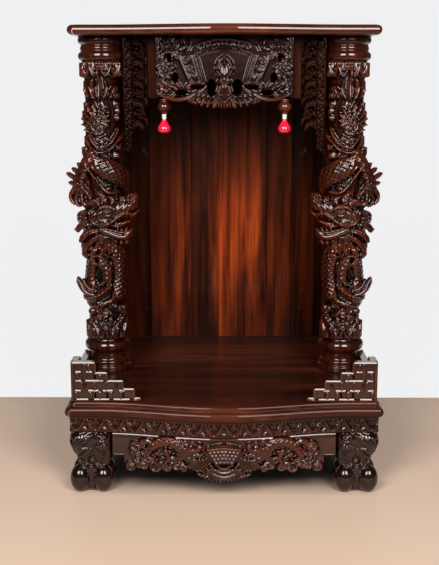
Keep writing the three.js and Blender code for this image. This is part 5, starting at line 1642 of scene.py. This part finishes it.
def fine_profile(points, steps=6):
    """More points on a turned outline, so that its curves are smooth."""
    smooth = curve(points, steps * (len(points) - 1))
    smooth[:, 0] = np.maximum(smooth[:, 0], 0.05)
    return np.vstack([[0, points[0][1]], smooth, [0, points[-1][1]]])


def streaked(name, scale, stretch, offset, first, second, rough):
    """A material with faint upright streaks between two tones, and its shader."""
    material, tree, shader = new_material(name)
    tint = ramp(tree, streaks(tree, "Z", scale, stretch, 3.0, offset), [(0.3, first), (0.7, second)])
    tree.links.new(tint, shader.inputs["Base Color"])
    shader.inputs["Roughness"].default_value = rough
    return material, shader


lamp_glass, shader = streaked("red_lamp", 60.0, 0.8, 2.0, (0.55, 0.006, 0.028), (0.80, 0.018, 0.055), 0.12)
shader.inputs["Coat Weight"].default_value = 1.0
shader.inputs["Coat Roughness"].default_value = 0.03
lamp_socket, shader = streaked("pale_socket", 90.0, 0.5, 5.0, (0.58, 0.47, 0.43), (0.80, 0.70, 0.66), 0.3)
for name in ("left", "right"):
    low, high = node_box(f"drop_knob_{name}")
    x, y = (low[0] + high[0]) / 2, (low[1] + high[1]) / 2
    knob = turned(f"knob_{name}", fine_profile([(9.6, 0), (9.8, 2), (8.6, 4), (9.4, 6), (12.8, 10),
                                                (13.9, 14), (13.6, 18), (11.4, 22), (8.6, 25), (7.6, 26.4),
                                                (6.6, 28.9)]), x, y, high[2])
    stand_for(knob, [f"drop_knob_{name}"], wood_upright)
    low, high = node_box(f"lamp_socket_{name}")
    socket = turned(f"socket_{name}", fine_profile([(4.9, 0), (4.95, 1.2), (4.3, 2.0), (4.8, 3.2), (4.3, 4.4),
                                                    (4.7, 5.6), (4.4, 7.2), (4.3, 9.9)]), x, y, high[2], 40)
    low, high = node_box(f"lamp_bulb_{name}")
    bulb = turned(f"bulb_{name}", fine_profile([(4.4, 0), (5.6, 3.5), (8.4, 8), (11.6, 12.5), (13.3, 17),
                                                (13.1, 21), (11.0, 25), (7.0, 27.3), (2.5, 27.9)]), x, y,
                  high[2])
    stand_for(bulb, [f"lamp_bulb_{name}"], lamp_glass)
    stand_for(socket, [f"lamp_socket_{name}"], lamp_socket)
print("pieces:", len(triangle_count), "triangles:", sum(triangle_count.values()))

# %% [markdown]
# ## Room and light
# The stage is a pale floor, and behind it a white step and a far white wall that glow softly, like a bright room out
# of reach of the lights. The wall stands so far back that a view from behind still sees the cabinet. Two tall soft windows stand left
# and right of the camera, with a dark gap between them: that gap gives the pairs of short highlights on the turned
# rings. The floor under the cabinet is painted dark, where its own shadow is deepest. The view transform is the plain
# one, which keeps the deep reds of the wood.

# %% Stage and light
# Painted shadow under the cabinet: how far it reaches along each axis, how wide its edge fades, in metres, and its
# tone
SHADOW_EDGES = (("X", 0.20), ("Y", 0.17))
SHADOW_FADE = 0.10
SHADOW_TONE = (0.03, 0.022, 0.016)


def stage_plane(name, points, colour, dim, near, far, rough, glow=0.0):
    """A painted plane that isn't part of the cabinet. Its colour runs from colour to dim between the distances near
    and far from the cabinet, a painted falloff of light, and glow makes it shine by itself."""
    mesh = bpy.data.meshes.new(name)
    mesh.from_pydata(points, [], [(0, 1, 2, 3)])
    plane = bpy.data.objects.new(name, mesh)
    bpy.context.scene.collection.objects.link(plane)
    material, tree, shader = new_material(name + "_paint")
    where = add_node(tree, "ShaderNodeTexCoord")
    flat = add_node(tree, "ShaderNodeVectorMath", operation="MULTIPLY")
    flat.inputs[1].default_value = (1.0, 1.0 if name == "room_floor" else 0.0, 0.0)
    tree.links.new(where.outputs["Object"], flat.inputs[0])
    away = add_node(tree, "ShaderNodeVectorMath", operation="LENGTH")
    tree.links.new(flat.outputs[0], away.inputs[0])
    share = add_node(tree, "ShaderNodeMapRange")
    share.inputs["From Min"].default_value = near
    share.inputs["From Max"].default_value = far
    tree.links.new(away.outputs["Value"], share.inputs["Value"])
    tint = mix(tree, share.outputs["Result"], colour, dim)
    if name == "room_floor":
        parts = tree.nodes.new("ShaderNodeSeparateXYZ")
        tree.links.new(where.outputs["Object"], parts.inputs[0])
        joint = add_node(tree, "ShaderNodeMath", operation="MAXIMUM")
        for (axis, edge), socket in zip(SHADOW_EDGES, joint.inputs):
            size = add_node(tree, "ShaderNodeMath", operation="ABSOLUTE")
            tree.links.new(parts.outputs[axis], size.inputs[0])
            outside = add_node(tree, "ShaderNodeMapRange")
            outside.inputs["From Min"].default_value = edge
            outside.inputs["From Max"].default_value = edge + SHADOW_FADE
            tree.links.new(size.outputs[0], outside.inputs["Value"])
            tree.links.new(outside.outputs["Result"], socket)
        tint = mix(tree, joint.outputs[0], SHADOW_TONE, tint)
    tree.links.new(tint, shader.inputs["Emission Color" if glow else "Base Color"])
    shader.inputs["Emission Strength"].default_value = glow
    if glow:
        shader.inputs["Base Color"].default_value = (0.01, 0.01, 0.01, 1.0)
        shader.inputs["Specular IOR Level"].default_value = 0.0
    shader.inputs["Roughness"].default_value = rough
    mesh.materials.append(material)


FLOOR_END, WALL_Y, ROOM = 0.36, 4.60, 4
GLOW = 0.98
FLOOR_TONE, FLOOR_DIM = (0.74, 0.535, 0.395), (0.07, 0.055, 0.045)
WHITE, GREY = (0.88, 0.88, 0.89), (0.12, 0.12, 0.12)
stage_plane("room_floor", [(-ROOM, -ROOM, 0), (ROOM, -ROOM, 0), (ROOM, FLOOR_END, 0), (-ROOM, FLOOR_END, 0)],
            FLOOR_TONE, FLOOR_DIM, 0.95, 1.5, 0.6)
stage_plane("room_step", [(-ROOM, FLOOR_END, 0), (ROOM, FLOOR_END, 0), (ROOM, WALL_Y, 0), (-ROOM, WALL_Y, 0)],
            WHITE, GREY, 1.6, 3.0, 0.9, GLOW)
stage_plane("room_wall", [(-ROOM, WALL_Y, 0), (ROOM, WALL_Y, 0), (ROOM, WALL_Y, ROOM), (-ROOM, WALL_Y, ROOM)],
            WHITE, GREY, 1.6, 3.0, 0.9, GLOW)


def soft_light(name, place, size, tilt, power):
    """A rectangular light of a given size, turned by tilt degrees about X from facing down."""
    data = bpy.data.lights.new(name, "AREA")
    data.shape = "RECTANGLE"
    data.size, data.size_y = size
    data.energy = power
    light = bpy.data.objects.new(name, data)
    light.location = place
    light.rotation_euler = (math.radians(tilt), 0, 0)
    bpy.context.scene.collection.objects.link(light)


WINDOW_X, WINDOW_Y, WINDOW_Z = 0.87, -2.15, 1.58
WINDOW_SIZE = (1.02, 1.20)
WINDOW_TILT = 86
WINDOW_POWER = 66.0
for name, side in (("left", -1), ("right", 1)):
    soft_light(f"window_{name}", (side * WINDOW_X, WINDOW_Y, WINDOW_Z), WINDOW_SIZE, WINDOW_TILT,
               WINDOW_POWER)
world = bpy.data.worlds.new("room_light")
bpy.context.scene.world = world
world.use_nodes = True
world.node_tree.nodes["Background"].inputs["Color"].default_value = (1.0, 0.98, 0.96, 1.0)
world.node_tree.nodes["Background"].inputs["Strength"].default_value = 0.06
bpy.context.scene.view_settings.view_transform = "Standard"
